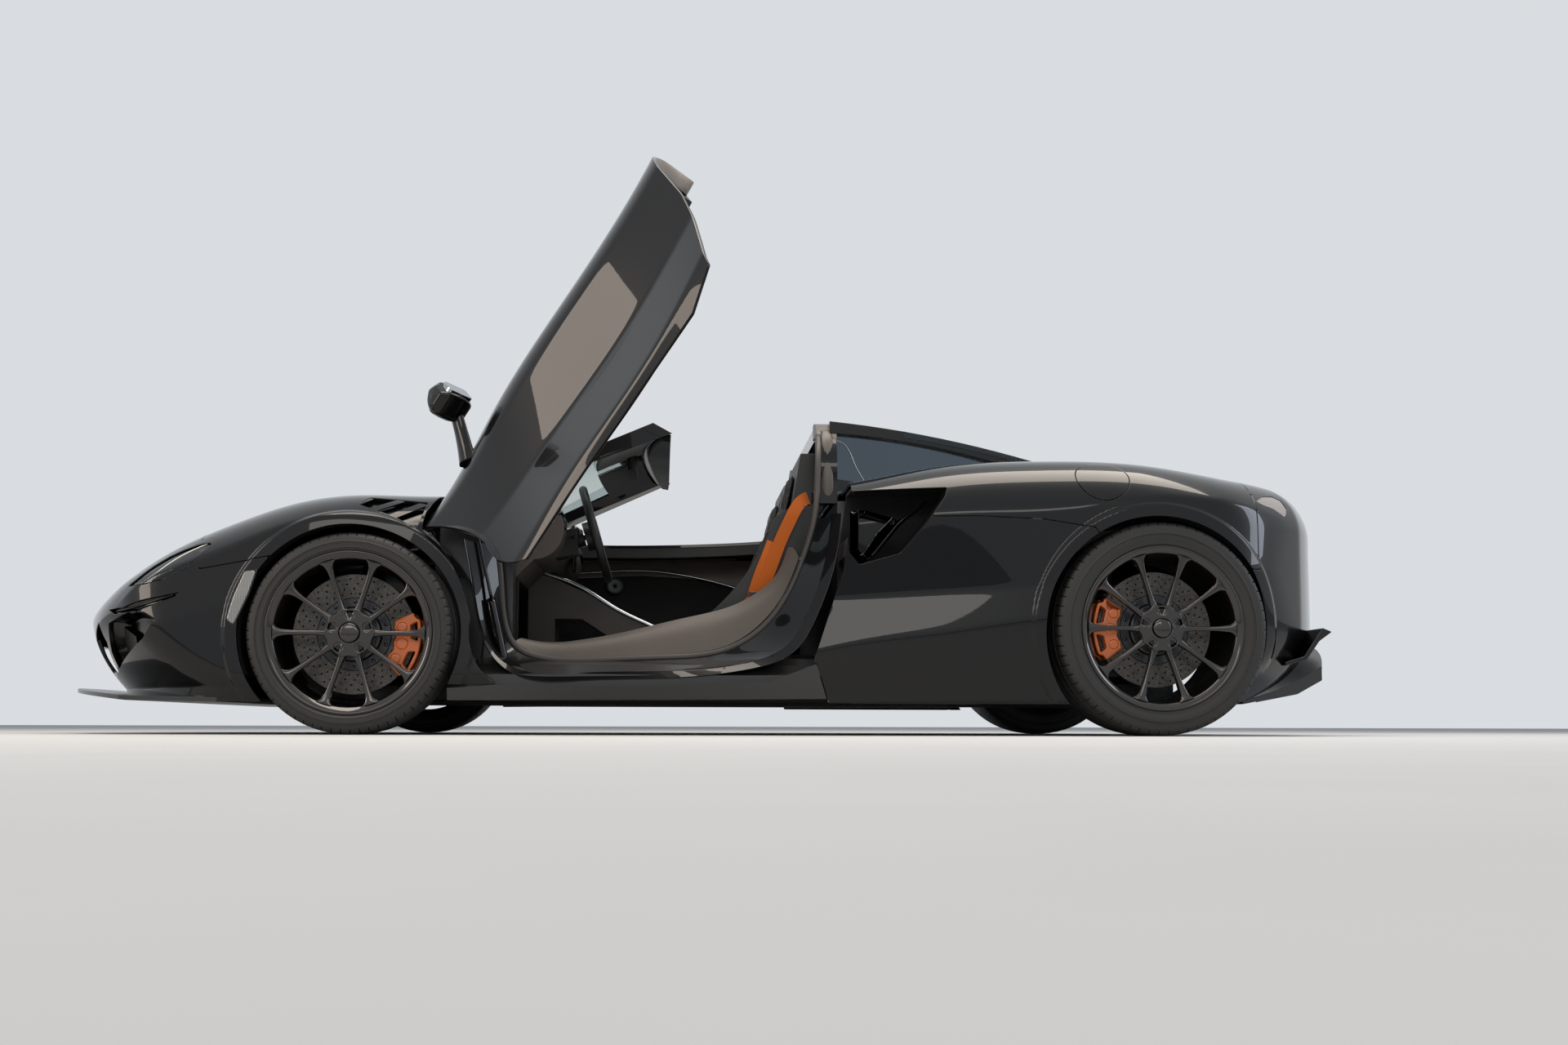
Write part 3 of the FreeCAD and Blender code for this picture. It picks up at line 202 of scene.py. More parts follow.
# Body surface: all painted panels are cut from this one skin, so that they meet flush. Each
# row, in millimetres, is a cross-section of the left half: x, then y and z of
# the sill edge, flare, waist, hip, crest and inner edge, and z on the centre plane.
ROWS = np.array([
    (-2240, 640, 180, 680, 360, 715, 560, 700, 700, 620, 795, 480, 822, 832),
    (-1940, 820, 160, 850, 370, 880, 560, 855, 748, 760, 840, 560, 856, 860),
    (-1750, 885, 140, 915, 380, 940, 560, 918, 775, 790, 872, 580, 882, 880),
    (-1450, 910, 130, 945, 390, 956, 560, 948, 792, 815, 914, 600, 912, 900),
    (-1067, 915, 126, 948, 388, 942, 500, 950, 745, 826, 915, 620, 925, 935),
    (-700, 915, 122, 944, 335, 928, 470, 946, 725, 828, 888, 660, 900, 960),
    (-430, 910, 120, 936, 300, 912, 450, 928, 695, 820, 840, 705, 850, 870),
    (0, 905, 116, 930, 215, 868, 440, 910, 668, 800, 812, 705, 806, 850),
    (500, 900, 114, 925, 200, 872, 430, 905, 650, 790, 800, 700, 797, 830),
    (951, 895, 110, 912, 190, 905, 440, 893, 662, 760, 785, 640, 790, 806),
    (1190, 920, 106, 948, 190, 953, 500, 930, 697, 750, 791, 570, 760, 735),
    (1402, 915, 104, 945, 182, 945, 480, 922, 665, 750, 761, 560, 733, 700),
    (1617, 905, 104, 930, 180, 925, 400, 900, 580, 750, 683, 560, 672, 655),
    (1872, 895, 106, 915, 172, 905, 330, 875, 475, 748, 548, 560, 572, 590),
    (2043, 870, 108, 885, 160, 880, 250, 855, 345, 740, 408, 560, 462, 520),
    (2260, 790, 108, 800, 118, 805, 135, 790, 165, 700, 232, 520, 322, 425),
]) / 1000.0
X_STEP = 0.01
TABLE_X = np.arange(-2.36, 2.361, X_STEP)
TURN_STEP = math.radians(0.25)
TABLE_TURN = np.arange(-math.pi / 2, math.pi / 2 + TURN_STEP, TURN_STEP)


# Natural cubic curve through the rows, so the shape runs smoothly along the car.
def spline(knots, values, at):
    count = len(knots)
    step = np.diff(knots)
    grid = np.zeros((count, count))
    push = np.zeros(values.shape)
    grid[0, 0] = grid[-1, -1] = 1.0
    slope = np.diff(values, axis=0) / step[:, None]
    for i in range(1, count - 1):
        grid[i, i - 1:i + 2] = step[i - 1], 2 * (step[i - 1] + step[i]), step[i]
        push[i] = 6 * (slope[i] - slope[i - 1])
    bend = np.linalg.solve(grid, push)
    k = np.clip(np.searchsorted(knots, at) - 1, 0, count - 2)
    h = step[k][:, None]
    a = (knots[k + 1] - at)[:, None] / h
    b = 1 - a
    flat = a * values[k] + b * values[k + 1]
    return flat + ((a ** 3 - a) * bend[k] + (b ** 3 - b) * bend[k + 1]) * h * h / 6


# Points after the first of the circle's stretch through three points.
def arc_points(first, middle, last, count):
    (x1, y1), (x2, y2), (x3, y3) = first, middle, last
    d = 2 * (x1 * (y2 - y3) + x2 * (y3 - y1) + x3 * (y1 - y2))
    s1, s2, s3 = x1 * x1 + y1 * y1, x2 * x2 + y2 * y2, x3 * x3 + y3 * y3
    cx = (s1 * (y2 - y3) + s2 * (y3 - y1) + s3 * (y1 - y2)) / d
    cy = (s1 * (x3 - x2) + s2 * (x1 - x3) + s3 * (x2 - x1)) / d
    radius = math.hypot(x1 - cx, y1 - cy)
    turns = np.unwrap([math.atan2(y - cy, x - cx) for x, y in (first, middle, last)])
    sweep = np.linspace(turns[0], turns[2], count + 1)[1:]
    return [(cx + radius * math.cos(t), cy + radius * math.sin(t)) for t in sweep]


# Adds points to a line, `step` apart.
def dense(points, step=0.004):
    out = [points[0]]
    for p, q in zip(points[:-1], points[1:]):
        n = max(1, int(math.hypot(q[0] - p[0], q[1] - p[1]) / step))
        out += [(p[0] + (q[0] - p[0]) * i / n, p[1] + (q[1] - p[1]) * i / n) for i in range(1, n + 1)]
    return np.array(out)


# Rounds the corners of a line over about `reach` metres.
def softened(line, reach):
    along = np.concatenate([[0], np.cumsum(np.hypot(*np.diff(line, axis=0).T))])
    even = np.arange(0, along[-1], 0.002)
    points = np.stack([np.interp(even, along, line[:, i]) for i in (0, 1)], 1)
    n = int(3 * reach / 0.002)
    weight = np.exp(-0.5 * (np.arange(-n, n + 1) * 0.002 / reach) ** 2)
    weight /= weight.sum()
    padded = np.concatenate([2 * points[0] - points[n:0:-1], points, 2 * points[-1] - points[-2:-n - 2:-1]])
    return np.stack([np.convolve(padded[:, i], weight, "valid") for i in (0, 1)], 1)


# Height of the line inside the car that the body is measured from.
def spine_height(x):
    return np.interp(x, [-2.3, -1.0, 0.9, 1.4, 1.9, 2.3], [0.50, 0.48, 0.45, 0.42, 0.28, 0.17])


reach_table = np.zeros((len(TABLE_X), len(TABLE_TURN)))
crease_table = np.zeros((len(TABLE_X), 5, 2))
for i, row in enumerate(spline(ROWS[:, 0], ROWS[:, 1:], np.clip(TABLE_X, -2.26, 2.28))):
    sill, flare, waist, hip, crest, inner = [(row[k], row[k + 1]) for k in range(0, 12, 2)]
    line = [(0.0, -0.35), (sill[0] * 0.9, -0.35), (sill[0], sill[1] - 0.1), sill, flare, waist, hip]
    line = line + arc_points(hip, crest, inner, 40) + [(0.26, row[12]), (0.0, row[12])]
    line = softened(dense(line), 0.008)
    up = line[:, 1] - spine_height(TABLE_X[i])
    turn = np.unwrap(np.arctan2(up, line[:, 0]))
    reach_table[i] = np.interp(TABLE_TURN, turn, np.hypot(line[:, 0], up))
    crease_table[i] = [sill, flare, waist, hip, inner]
slope_turn = np.gradient(reach_table, TURN_STEP, axis=1) / reach_table
slope_x = np.gradient(reach_table, X_STEP, axis=0)
steep_table = np.sqrt(1 + slope_turn ** 2 + slope_x ** 2)


# A table's value at a place along the car and a turn round the spine.
def look_up(table, x, turn):
    fx = np.clip((x - TABLE_X[0]) / X_STEP, 0, len(TABLE_X) - 1.001)
    ft = np.clip((turn + math.pi / 2) / TURN_STEP, 0, len(TABLE_TURN) - 1.001)
    i, j = fx.astype(int), ft.astype(int)
    a, b = fx - i, ft - j
    low = table[i, j] * (1 - a) + table[i + 1, j] * a
    high = table[i, j + 1] * (1 - a) + table[i + 1, j + 1] * a
    return low * (1 - b) + high * b


# Both ends are rounded in plan, and lean back above and below their foremost line.
NOSE = [(2.235, 0.0), (2.192, 0.330), (2.066, 0.640), (1.868, 0.884), (1.600, 1.050)]
TAIL = [(-2.232, 0.0), (-2.175, 0.420), (-2.000, 0.760), (-1.850, 0.880), (-1.600, 1.050)]


# How far an end reaches from a hub on the centre line, for each turn in plan.
def plan_reach(corners, centre):
    line = [corners[0]] + arc_points(*corners[0:3], 60) + arc_points(*corners[2:5], 60)
    line = dense(line + [(centre, 1.2)])
    line = softened(np.concatenate([(line[1:12] * (1, -1))[::-1], line]), 0.01)
    turn = np.arctan2(line[:, 1], np.abs(line[:, 0] - centre))
    even = np.radians(np.arange(-1, 91, 0.25))
    return np.interp(even, turn, np.hypot(line[:, 0] - centre, line[:, 1]))


nose_plan = plan_reach(NOSE, 1.2)
tail_plan = plan_reach(TAIL, -1.2)


# How far a point is beyond the nose or the tail.
def end_depth(p):
    x, y, z = p[..., 0], np.abs(p[..., 1]), p[..., 2]
    lean_nose = 0.08 * np.clip((0.44 - z) / 0.24, 0, 1.2) ** 2.2
    lean_tail = 0.225 * np.clip((0.43 - z) / 0.316, 0, 1.1) ** 3
    lean_tail = lean_tail + 0.075 * np.clip((z - 0.70) / 0.16, 0, 2) ** 2
    depth = np.full(x.shape, -0.3)
    for plan, centre, way, lean in ((nose_plan, 1.2, 1, lean_nose), (tail_plan, -1.2, -1, lean_tail)):
        ahead = (x - centre) * way
        turn = np.degrees(np.arctan2(y, np.maximum(ahead, 1e-6))) + 1
        here = np.hypot(ahead, y) - np.interp(turn / 0.25, np.arange(len(plan)), plan) + lean
        depth = np.where(ahead > 0.02, here, depth)
    return depth


# How far a point is outside the body; negative inside. Sides and ends blend over 50 mm.
END_BLEND = 0.05


def body_depth(p):
    x, y, z = p[..., 0], np.abs(p[..., 1]), p[..., 2]
    up = z - spine_height(x)
    turn = np.arctan2(up, y)
    side = (np.hypot(y, up) - look_up(reach_table, x, turn)) / look_up(steep_table, x, turn)
    end = end_depth(p)
    mix = np.clip(END_BLEND - np.abs(side - end), 0, None) / END_BLEND
    return np.maximum(side, end) + mix * mix * END_BLEND * 0.25


# The direction straight out of a depth function.
PROBE = 0.003


def gradient(depth, p):
    out = np.zeros(p.shape)
    for axis in range(3):
        push = np.zeros(3)
        push[axis] = PROBE
        out[..., axis] = depth(p + push) - depth(p - push)
    return out


def unit(v):
    return v / np.maximum(np.linalg.norm(v, axis=-1, keepdims=True), 1e-9)


# A net of points over the left half: rays leave a spine, fan-wise round both ends.
CELL = 0.006
NOSE_HUB, TAIL_HUB, FAN = 1.95, -1.85, 0.75
net_u = np.arange(TAIL_HUB - FAN * math.pi / 2, NOSE_HUB + FAN * math.pi / 2 + CELL, CELL)
net_u = np.linspace(net_u[0], NOSE_HUB + FAN * math.pi / 2, len(net_u))
net_x = np.clip(net_u, TAIL_HUB, NOSE_HUB)
net_turn = np.clip(net_u - NOSE_HUB, 0, None) / FAN - np.clip(TAIL_HUB - net_u, 0, None) / FAN
hub_height = spine_height(net_x)
knots = np.stack([[np.interp(net_x, TABLE_X, crease_table[:, k, i]) for i in (0, 1)] for k in range(5)])
level = []
for k, (part_count, low) in enumerate(((0.10, 0), (0.27, 1), (0.24, 2), (0.33, 3), (0.66, 4))):
    steps = max(2, int(part_count / CELL))
    level.append(low + np.arange(steps) / steps)
level = np.append(np.concatenate(level), 5.0)
lift = np.arctan2(knots[:, 1] - hub_height, knots[:, 0])
marks = np.where(knots[:, 1] < hub_height, knots[:, 1] - hub_height, 0.6 * lift)
marks = np.concatenate([marks, np.full((1, len(net_u)), 0.6 * math.pi / 2)])
marks[0] = 0.106 - hub_height
rise = np.stack([np.interp(level, np.arange(6), marks[:, i]) for i in range(len(net_u))])
start = np.stack(np.broadcast_arrays(net_x[:, None], 0.0, hub_height[:, None] + np.minimum(rise, 0)), -1)
tilt = np.clip(rise, 0, None) / 0.6
aim = np.stack([np.sin(net_turn)[:, None] * np.cos(tilt), np.cos(net_turn)[:, None] * np.cos(tilt),
                np.sin(tilt)], -1)
near = np.full(rise.shape, 0.02)
far = np.full(rise.shape, 1.5)
for halving in range(20):
    middle = (near + far) / 2
    outside = body_depth(start + aim * middle[..., None]) > 0
    far = np.where(outside, middle, far)
    near = np.where(outside, near, middle)
net = start + aim * ((near + far) / 2)[..., None]
net_out = unit(gradient(body_depth, net))


# Outlines are corners, with ("arc", middle, end) for a round stretch, as drawn in the
# CAD part. This gives the distance outside such an outline for points in its plane.
def outline_depth(points, grow=0.0):
    line = [points[0]]
    for item in points[1:]:
        if item[0] == "arc":
            line += arc_points(line[-1], item[1], item[2], 24)
        else:
            line.append(item)
    corners = np.array(line, float) / 1000.0

    def depth(a, b):
        best = np.full(a.shape, 9.0)
        inside = np.zeros(a.shape, bool)
        for (x1, y1), (x2, y2) in zip(corners, np.roll(corners, -1, 0)):
            dx, dy = x2 - x1, y2 - y1
            share = np.clip(((a - x1) * dx + (b - y1) * dy) / max(dx * dx + dy * dy, 1e-12), 0, 1)
            best = np.minimum(best, np.hypot(a - x1 - share * dx, b - y1 - share * dy))
            if y1 != y2:
                inside ^= ((y1 > b) != (y2 > b)) & (a < dx * (b - y1) / dy + x1)
        return np.where(inside, -best, best) - grow / 1000.0

    return depth


# The corners of a rectangle between two opposite ones.
def oblong(x1, y1, x2, y2):
    return [(x1, y1), (x1, y2), (x2, y2), (x2, y1)]


# Regions: an outline seen from the side, from above or from ahead, and a round one.
def from_side(points, grow=0.0):
    depth = outline_depth(points, grow)
    return lambda p: depth(p[..., 0], p[..., 2])


def from_top(points, grow=0.0):
    depth = outline_depth(points, grow)
    return lambda p: depth(p[..., 0], np.abs(p[..., 1]))


def from_front(points):
    depth = outline_depth(points)
    return lambda p: depth(np.abs(p[..., 1]), p[..., 2])


def barrel(radius, x, z):
    return lambda p: np.hypot(p[..., 0] - x / 1000.0, p[..., 2] - z / 1000.0) - radius / 1000.0


# What is inside `first` and outside all the others.
def without(first, *others):
    return lambda p: np.maximum.reduce([first(p)] + [-other(p) for other in others])


# What is inside all of them.
def within(*shapes):
    return lambda p: np.maximum.reduce([shape(p) for shape in shapes])


# A pressed lip stands proud of the body round each wheel opening.
ARCHES = ((1.190, 0.323, 0.347), (-1.440, 0.345, 0.385))


def pressing(p):
    raised = np.zeros(p.shape[:-1])
    for x, z, radius in ARCHES:
        away = np.hypot(p[..., 0] - x, p[..., 2] - z) - radius
        share = np.clip((away - 0.034) / 0.016, 0, 1)
        bump = 0.007 * (1 - share * share * (3 - 2 * share)) * (away < 0.06)
        raised = np.maximum(raised, bump * np.clip((np.abs(p[..., 1]) - 0.80) / 0.05, 0, 1))
    return raised


height = pressing(net)
slope = gradient(pressing, net) / (2 * PROBE)
slope = slope - (slope * net_out).sum(-1, keepdims=True) * net_out
panel_net = net + net_out * height[..., None]
panel_out = unit(net_out - slope)


# Cuts a panel out of the net where `region` is negative and turns its edges inward.
# A step of 2 takes every other point of the net, for the side away from the camera.
def cut_panel(region, box_low, box_high, step=1, flange=0.012):
    points = panel_net[::step, ::step]
    outs = panel_out[::step, ::step]
    flat = net[::step, ::step]
    near_by = np.all((flat >= np.array(box_low) - 0.02) & (flat <= np.array(box_high) + 0.02), -1)
    depth = np.ones(near_by.shape)
    depth[near_by] = region(flat[near_by])
    depth = np.where(np.abs(depth) < 2e-5, 2e-5, depth)
    inside = depth < 0
    index = np.full(inside.shape, -1)
    index[inside] = np.arange(inside.sum())
    verts = [points[inside]]
    norms = [outs[inside]]
    count = int(inside.sum())
    crossing = {}
    extra, extra_out = [], []

    def cross(a, b):
        nonlocal count
        key = (a, b) if a < b else (b, a)
        if key not in crossing:
            share = depth[a] / (depth[a] - depth[b])
            extra.append(points[a] + (points[b] - points[a]) * share)
            extra_out.append(outs[a] + (outs[b] - outs[a]) * share)
            crossing[key] = count
            count += 1
        return crossing[key]

    faces = []
    corner_sum = (inside[:-1, :-1].astype(int) + inside[1:, :-1] + inside[1:, 1:] + inside[:-1, 1:])
    for i, j in np.argwhere(corner_sum == 4):
        faces.append((index[i, j], index[i, j + 1], index[i + 1, j + 1], index[i + 1, j]))
    for i, j in np.argwhere((corner_sum > 0) & (corner_sum < 4)):
        ring = [(i, j), (i, j + 1), (i + 1, j + 1), (i + 1, j)]
        face = []
        for a, b in zip(ring, ring[1:] + ring[:1]):
            if inside[a]:
                face.append(index[a])
            if inside[a] != inside[b]:
                face.append(cross(a, b))
        faces.append(tuple(face))
    if extra:
        verts.append(np.array(extra))
        norms.append(unit(np.array(extra_out)))
    verts = np.concatenate(verts)
    norms = np.concatenate(norms)
    use = {}
    for face in faces:
        for a, b in zip(face, face[1:] + face[:1]):
            use[(a, b)] = use.get((a, b), 0) + 1
    rim = [(a, b) for a, b in use if (b, a) not in use]
    rim = [(a, b) for a, b in rim if max(abs(verts[a, 1]), abs(verts[b, 1])) > 1e-5]
    rim = [(a, b) for a, b in rim if np.linalg.norm(verts[a] - verts[b]) > 1e-7]
    if flange and rim:
        side = np.zeros(verts.shape)
        for a, b in rim:
            push = np.cross(verts[b] - verts[a], norms[a])
            side[a] += push
            side[b] += push
        on_seam = np.abs(verts[:, 1]) < 1e-5
        side[on_seam, 1] = 0
        edge = sorted({k for pair in rim for k in pair})
        place = {k: n for n, k in enumerate(edge)}
        out = unit(side[edge])
        base, up = verts[edge], norms[edge]
        rings = [base + out * 0.001 - up * 0.001, base + out * 0.0014 - up * 0.0035,
                 base + out * 0.0014 - up * flange]
        ring_out = [unit(up + out), out, out]
        first = len(verts)
        size = len(edge)
        verts = np.concatenate([verts] + rings)
        norms = np.concatenate([norms] + ring_out)
        for a, b in rim:
            low = (a, b)
            for k in range(3):
                high = (first + k * size + place[a], first + k * size + place[b])
                faces.append((low[1], low[0], high[0], high[1]))
                low = high
    return verts, norms, faces


# Joins a left half to its mirror image along the centre plane.
def doubled(shape):
    verts, norms, faces = shape
    seam = np.abs(verts[:, 1]) < 1e-5
    other = np.where(seam, np.arange(len(verts)), 0)
    other[~seam] = len(verts) + np.arange((~seam).sum())
    norms = norms.copy()
    norms[seam, 1] = 0
    turned = (1, -1, 1)
    verts = np.concatenate([verts, verts[~seam] * turned])
    norms = np.concatenate([norms, norms[~seam] * turned])
    return verts, unit(norms), faces + [tuple(int(other[k]) for k in face[::-1]) for face in faces]


# A shape is its points, the normals there and its faces. This is its mirror image.
def other_side(shape):
    verts, norms, faces = shape
    return verts * (1, -1, 1), norms * (1, -1, 1), [face[::-1] for face in faces]


def joined(*shapes):
    verts, norms, faces, first = [], [], [], 0
    for some_verts, some_norms, some_faces in shapes:
        verts.append(some_verts)
        norms.append(some_norms)
        faces += [tuple(int(k) + first for k in face) for face in some_faces]
        first += len(some_verts)
    return np.concatenate(verts), np.concatenate(norms), faces


# A left-hand shape together with its mirror image.
def paired(shape):
    return joined(shape, other_side(shape))


# A copy moved in by `depth` and turned to face inward, for the panel's back.
def lined(shape, depth):
    verts, norms, faces = shape
    return joined(shape, (verts - norms * depth, -norms, [face[::-1] for face in faces]))


# Makes a piece, which rides on a body and may stand for CAD nodes.
def show(name, shape, finish, body, *stands_for):
    verts, norms, faces = shape
    mesh = bpy.data.meshes.new(name)
    mesh.from_pydata(verts.tolist(), [], [tuple(int(k) for k in face) for face in faces])
    mesh.polygons.foreach_set("use_smooth", [True] * len(mesh.polygons))
    mesh.normals_split_custom_set_from_vertices(norms.tolist())
    mesh.materials.append(finish)
    made = bpy.data.objects.new(name, mesh)
    bpy.context.collection.objects.link(made)
    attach(made, body)
    if stands_for:
        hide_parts(*stands_for)
    return made


# Outlines of the painted panels, in millimetres: doors, wings and lamps as seen from the
# side, bonnet, cowl and tonneau as seen from above.
DOOR = [
    (951, 664), ("arc", (858, 518), (812, 370)), ("arc", (795, 240), (733, 168)), (227, 166), (-150, 182),
    (-286, 239), (-387, 538), (-423, 845), (-423, 1000), (850, 1000), (870, 790),
]
WING = [
    (1690, 1000), (1690, 646), (1664, 528), (1430, 569), (1190, 323), (890, 164), (700, 164), (700, 1000),
]
BONNET = [(1047.5, -10), (1047.5, 600), (1420, 565), (1720, 520), (1850, 380),
          ("arc", (1902, 195), (1920, 0)), (1920, -10)]
COWL = [
    (1045, -10), (1045, 600), (965, 700), (700, 700), (700, 655), (930, 640), (930, -10),
]
HEADLAMP = [
    (2000, 455), (1948, 479), (1897, 515), (1834, 561), (1764, 603), (1694, 627), (1640, 634), (1622, 624),
    (1634, 577), (1669, 527), (1708, 516), (1778, 482), (1870, 457), (1930, 448),
]
CORNER = [(2000, 361), (1922, 384), (1836, 388), (1796, 366), (1841, 303), (1996, 213), (2010, 267)]
SLOT = [(1998, 404), (1922, 407), (1851, 426), (1788, 438), (1720, 452), (1732, 437), (1788, 415),
        (1858, 390), (1963, 384)]
CLAMSHELL = [
    (-250, 1300), (-250, 740), (-440, 738), (-624, 721), (-841, 724), (-1060, 716), (-1225, 691),
    (-1440, 345), (-1700, 560), (-1790, 560), (-1802, 1300),
]
TAIL_LAMP = [(-1802, 822), (-1953, 834), (-1975, 765), (-1908, 742), (-1802, 760)]
TONNEAU = [(-425, -10), (-425, 505), (-700, 500), (-960, 480), (-960, -10)]
INTAKE = [
    (-405, 812), (-737, 822), (-728, 789), ("arc", (-650, 680), (-577, 596)), (-441, 557),
    (-405, 600),
]
SKIRT = [
    (885, 90), (885, 150), (733, 160), (227, 158), (-150, 174), (-300, 232), (-345, 90),
]
DOOR_STRIP = [(-440, 650), (-440, 1100), (980, 1100), (980, 700), (700, 700), (690, 650)]
door_hole = within(from_side(DOOR, 5), from_top(DOOR_STRIP))
corner_swing = from_side([(950, 648), (975, 662), (968, 722), (935, 800), (935, 1000), (850, 1000),
                          (880, 700)])
front_arch = barrel(347, 1190, 323)
rear_arch = barrel(385, -1440, 345)

# Front wings: pressed panels over the front wheels, from the bumper back to the doors,
# screwed to the tub. A louvre opening is cut behind each wheel.
LOUVRE = [(1180, 742), (1154, 774), (966, 762), (988, 662), (1062, 700)]
wing_shape_whole = without(
    within(from_side(WING), from_top(oblong(600, 560, 1800, 1200))),
    front_arch, door_hole, from_top(BONNET, 5), from_side(HEADLAMP, 0.8), corner_swing, from_top(COWL, 2.5))
wing_shape = without(wing_shape_whole, from_side(LOUVRE))
wing_box = ((0.7, 0.55, 0.1), (1.75, 1.0, 0.9))
far_wing = other_side(cut_panel(wing_shape, *wing_box, step=2))
show("wings", joined(cut_panel(wing_shape, *wing_box), far_wing), paint, "chassis", "front_wings")

# Bonnet: a hinged lid over the front boot, flush with the wings. Its back is lined, because
# it shows when the lid is up.
bonnet = doubled(cut_panel(from_top(BONNET), (1.0, -0.01, 0.5), (2.0, 0.7, 1.0), flange=0.009))
show("bonnet_skin", lined(bonnet, 0.0095), paint, "bonnet", "bonnet")

# Front bumper: one moulded skin round the nose with a central mouth, a large intake under
# each lamp and holes for the corner recesses; it is clipped between the wings.
MOUTH = [(-10, 205), (300, 205), (350, 250), (300, 302), (-10, 302)]
SIDE_INTAKE = [(430, 205), (585, 205), (662, 300), (628, 372), (455, 320)]
splitter_top = from_side([(2290, 163.3), (1880, 122.3), (1600, 118.3), (1600, 60), (2290, 60)])
front_only = from_side(oblong(1800, 0, 2400, 470))
outer_front = from_top(oblong(1500, 560, 2200, 1100))
bumper_shape = without(
    from_side(oblong(1190, 60, 2400, 1000)),
    within(from_side(WING, 5), from_top(oblong(600, 560, 1800, 1200))),
    front_arch, from_top(BONNET, 5),
    within(from_side(HEADLAMP, 0.8), from_top(oblong(1500, 540, 2100, 1100))),
    within(from_front(MOUTH), front_only), within(from_front(SIDE_INTAKE), front_only), splitter_top,
    within(from_side(CORNER), outer_front), within(from_side(SLOT), outer_front))
show("bumper_front", doubled(cut_panel(bumper_shape, (1.19, -0.01, 0.0), (2.4, 1.0, 0.8))), paint,
     "chassis", "front_bumper")

# Doors: pressed outer skins. The left one stands open, turned about its leaning hinge
# behind the front wheel.
door_shape = within(from_side(DOOR), from_top([
    (-430, 660), (-430, 1000), (960, 1000), (960, 712), (692, 712), (692, 660)]))
door_box = ((-0.45, 0.6, 0.1), (1.0, 1.0, 0.95))
HINGE_SPOT = np.array((0.919, 0.820, 0.706))
HINGE_RUN = unit(np.array((0.458, 0.696, -0.553)))
door_turn = np.array(Matrix.Rotation(math.radians(62.9), 3, Vector(HINGE_RUN)))


def opened(shape):
    verts, norms, faces = shape
    return (verts - HINGE_SPOT) @ door_turn.T + HINGE_SPOT, norms @ door_turn.T, faces


show("door_outer_left", opened(cut_panel(door_shape, *door_box)), paint, "door_left", "door_skin_left")
show("door_outer_right", other_side(cut_panel(door_shape, *door_box, step=2)), paint, "door_right",
     "door_skin_right")

# Rear sides: panels behind the doors, below the clamshell, down to the skirts and round the
# front of the wheel openings; they are fixed to the tub.
behind_door = from_side(oblong(-250, 90, -1500, 900))
quarter_shape = without(behind_door, door_hole, from_side(CLAMSHELL, 5), rear_arch, from_side(INTAKE),
                        from_side(SKIRT, 5))
quarter_box = ((-1.5, 0.7, 0.09), (-0.25, 1.0, 0.9))
far_quarter = other_side(cut_panel(quarter_shape, *quarter_box, step=2))
show("quarters", joined(cut_panel(quarter_shape, *quarter_box), far_quarter), paint, "chassis",
     "rear_quarters")

# Rear clamshell: one skin over the engine and both rear wheels, with vents over the engine
# and the fuel flap's round opening on the left. The flap and tonneau are hinged lids.
FLAP_SPOT = np.array((-1.265, 0.893, 0.858))
FLAP_RUN = np.array((0, 0.6, 0.8))


def flap_drum(radius):
    def depth(p):
        away = p - FLAP_SPOT
        along = away @ FLAP_RUN
        return np.linalg.norm(away - along[..., None] * FLAP_RUN, axis=-1) - radius
    return depth


vents = [from_top(oblong(low, -10, low + 50, 300)) for low in range(-1560, -1020, 90)]
clam_cuts = [door_hole, rear_arch, from_side(INTAKE), from_top(TONNEAU, 5), from_side(TAIL_LAMP, 0.8),
             from_top(oblong(-428, -10, 10, 655))] + vents
clam_box = ((-1.82, -0.01, 0.3), (-0.2, 1.0, 1.1))
left_clam = cut_panel(without(from_side(CLAMSHELL), flap_drum(0.093), *clam_cuts), *clam_box)
right_clam = other_side(cut_panel(without(from_side(CLAMSHELL), *clam_cuts), *clam_box))
show("clamshell", joined(left_clam, right_clam), paint, "chassis", "rear_clamshell")
show("flap", lined(cut_panel(flap_drum(0.088), (-1.4, 0.7, 0.7), (-1.1, 1.0, 1.0), flange=0.007), 0.0075),
     paint, "fuel_flap", "fuel_flap")
tonneau = doubled(cut_panel(from_top(TONNEAU), (-1.0, -0.01, 0.8), (-0.4, 0.55, 1.1), flange=0.008))
show("tonneau_skin", lined(tonneau, 0.0085), paint, "tonneau", "tonneau_cover")

# Rear bumper: one skin round the tail, open in the middle for the mesh and the tailpipes and
# below for the diffuser.
GRILLE = [(-10, 520), (560, 520), (600, 640), (560, 740), (-10, 740)]
tail_only = from_side(oblong(-2400, 0, -2000, 900))
lower_gap = within(from_side(oblong(-2400, 0, -1700, 900)), from_front(oblong(-10, 0, 620, 360)))
tail_shape = without(
    from_side(oblong(-2400, 60, -1600, 1100)), from_side(CLAMSHELL, 5), rear_arch,
    within(from_side(TAIL_LAMP, 0.8), from_top(oblong(-2100, 560, -1700, 1100))),
    within(from_front(GRILLE), tail_only), lower_gap)
show("bumper_rear", doubled(cut_panel(tail_shape, (-2.4, -0.01, 0.05), (-1.6, 1.0, 1.0))), paint,
     "chassis", "rear_bumper")


# Wheels: forged ten-spoke rims on wide low tyres. Everything here is drawn with the wheel's
# middle at the origin and +Y outboard, in millimetres, and then set on its axle.
FRONT = {"x": 1190, "y": 825, "radius": 323.5, "half": 117.5, "bead": 241, "face": 100, "mount": 30,
         "caliper": 138.0}
REAR = {"x": -1450, "y": 806.5, "radius": 357, "half": 147.5, "bead": 254, "face": 128, "mount": 58,
        "caliper": -31.0}


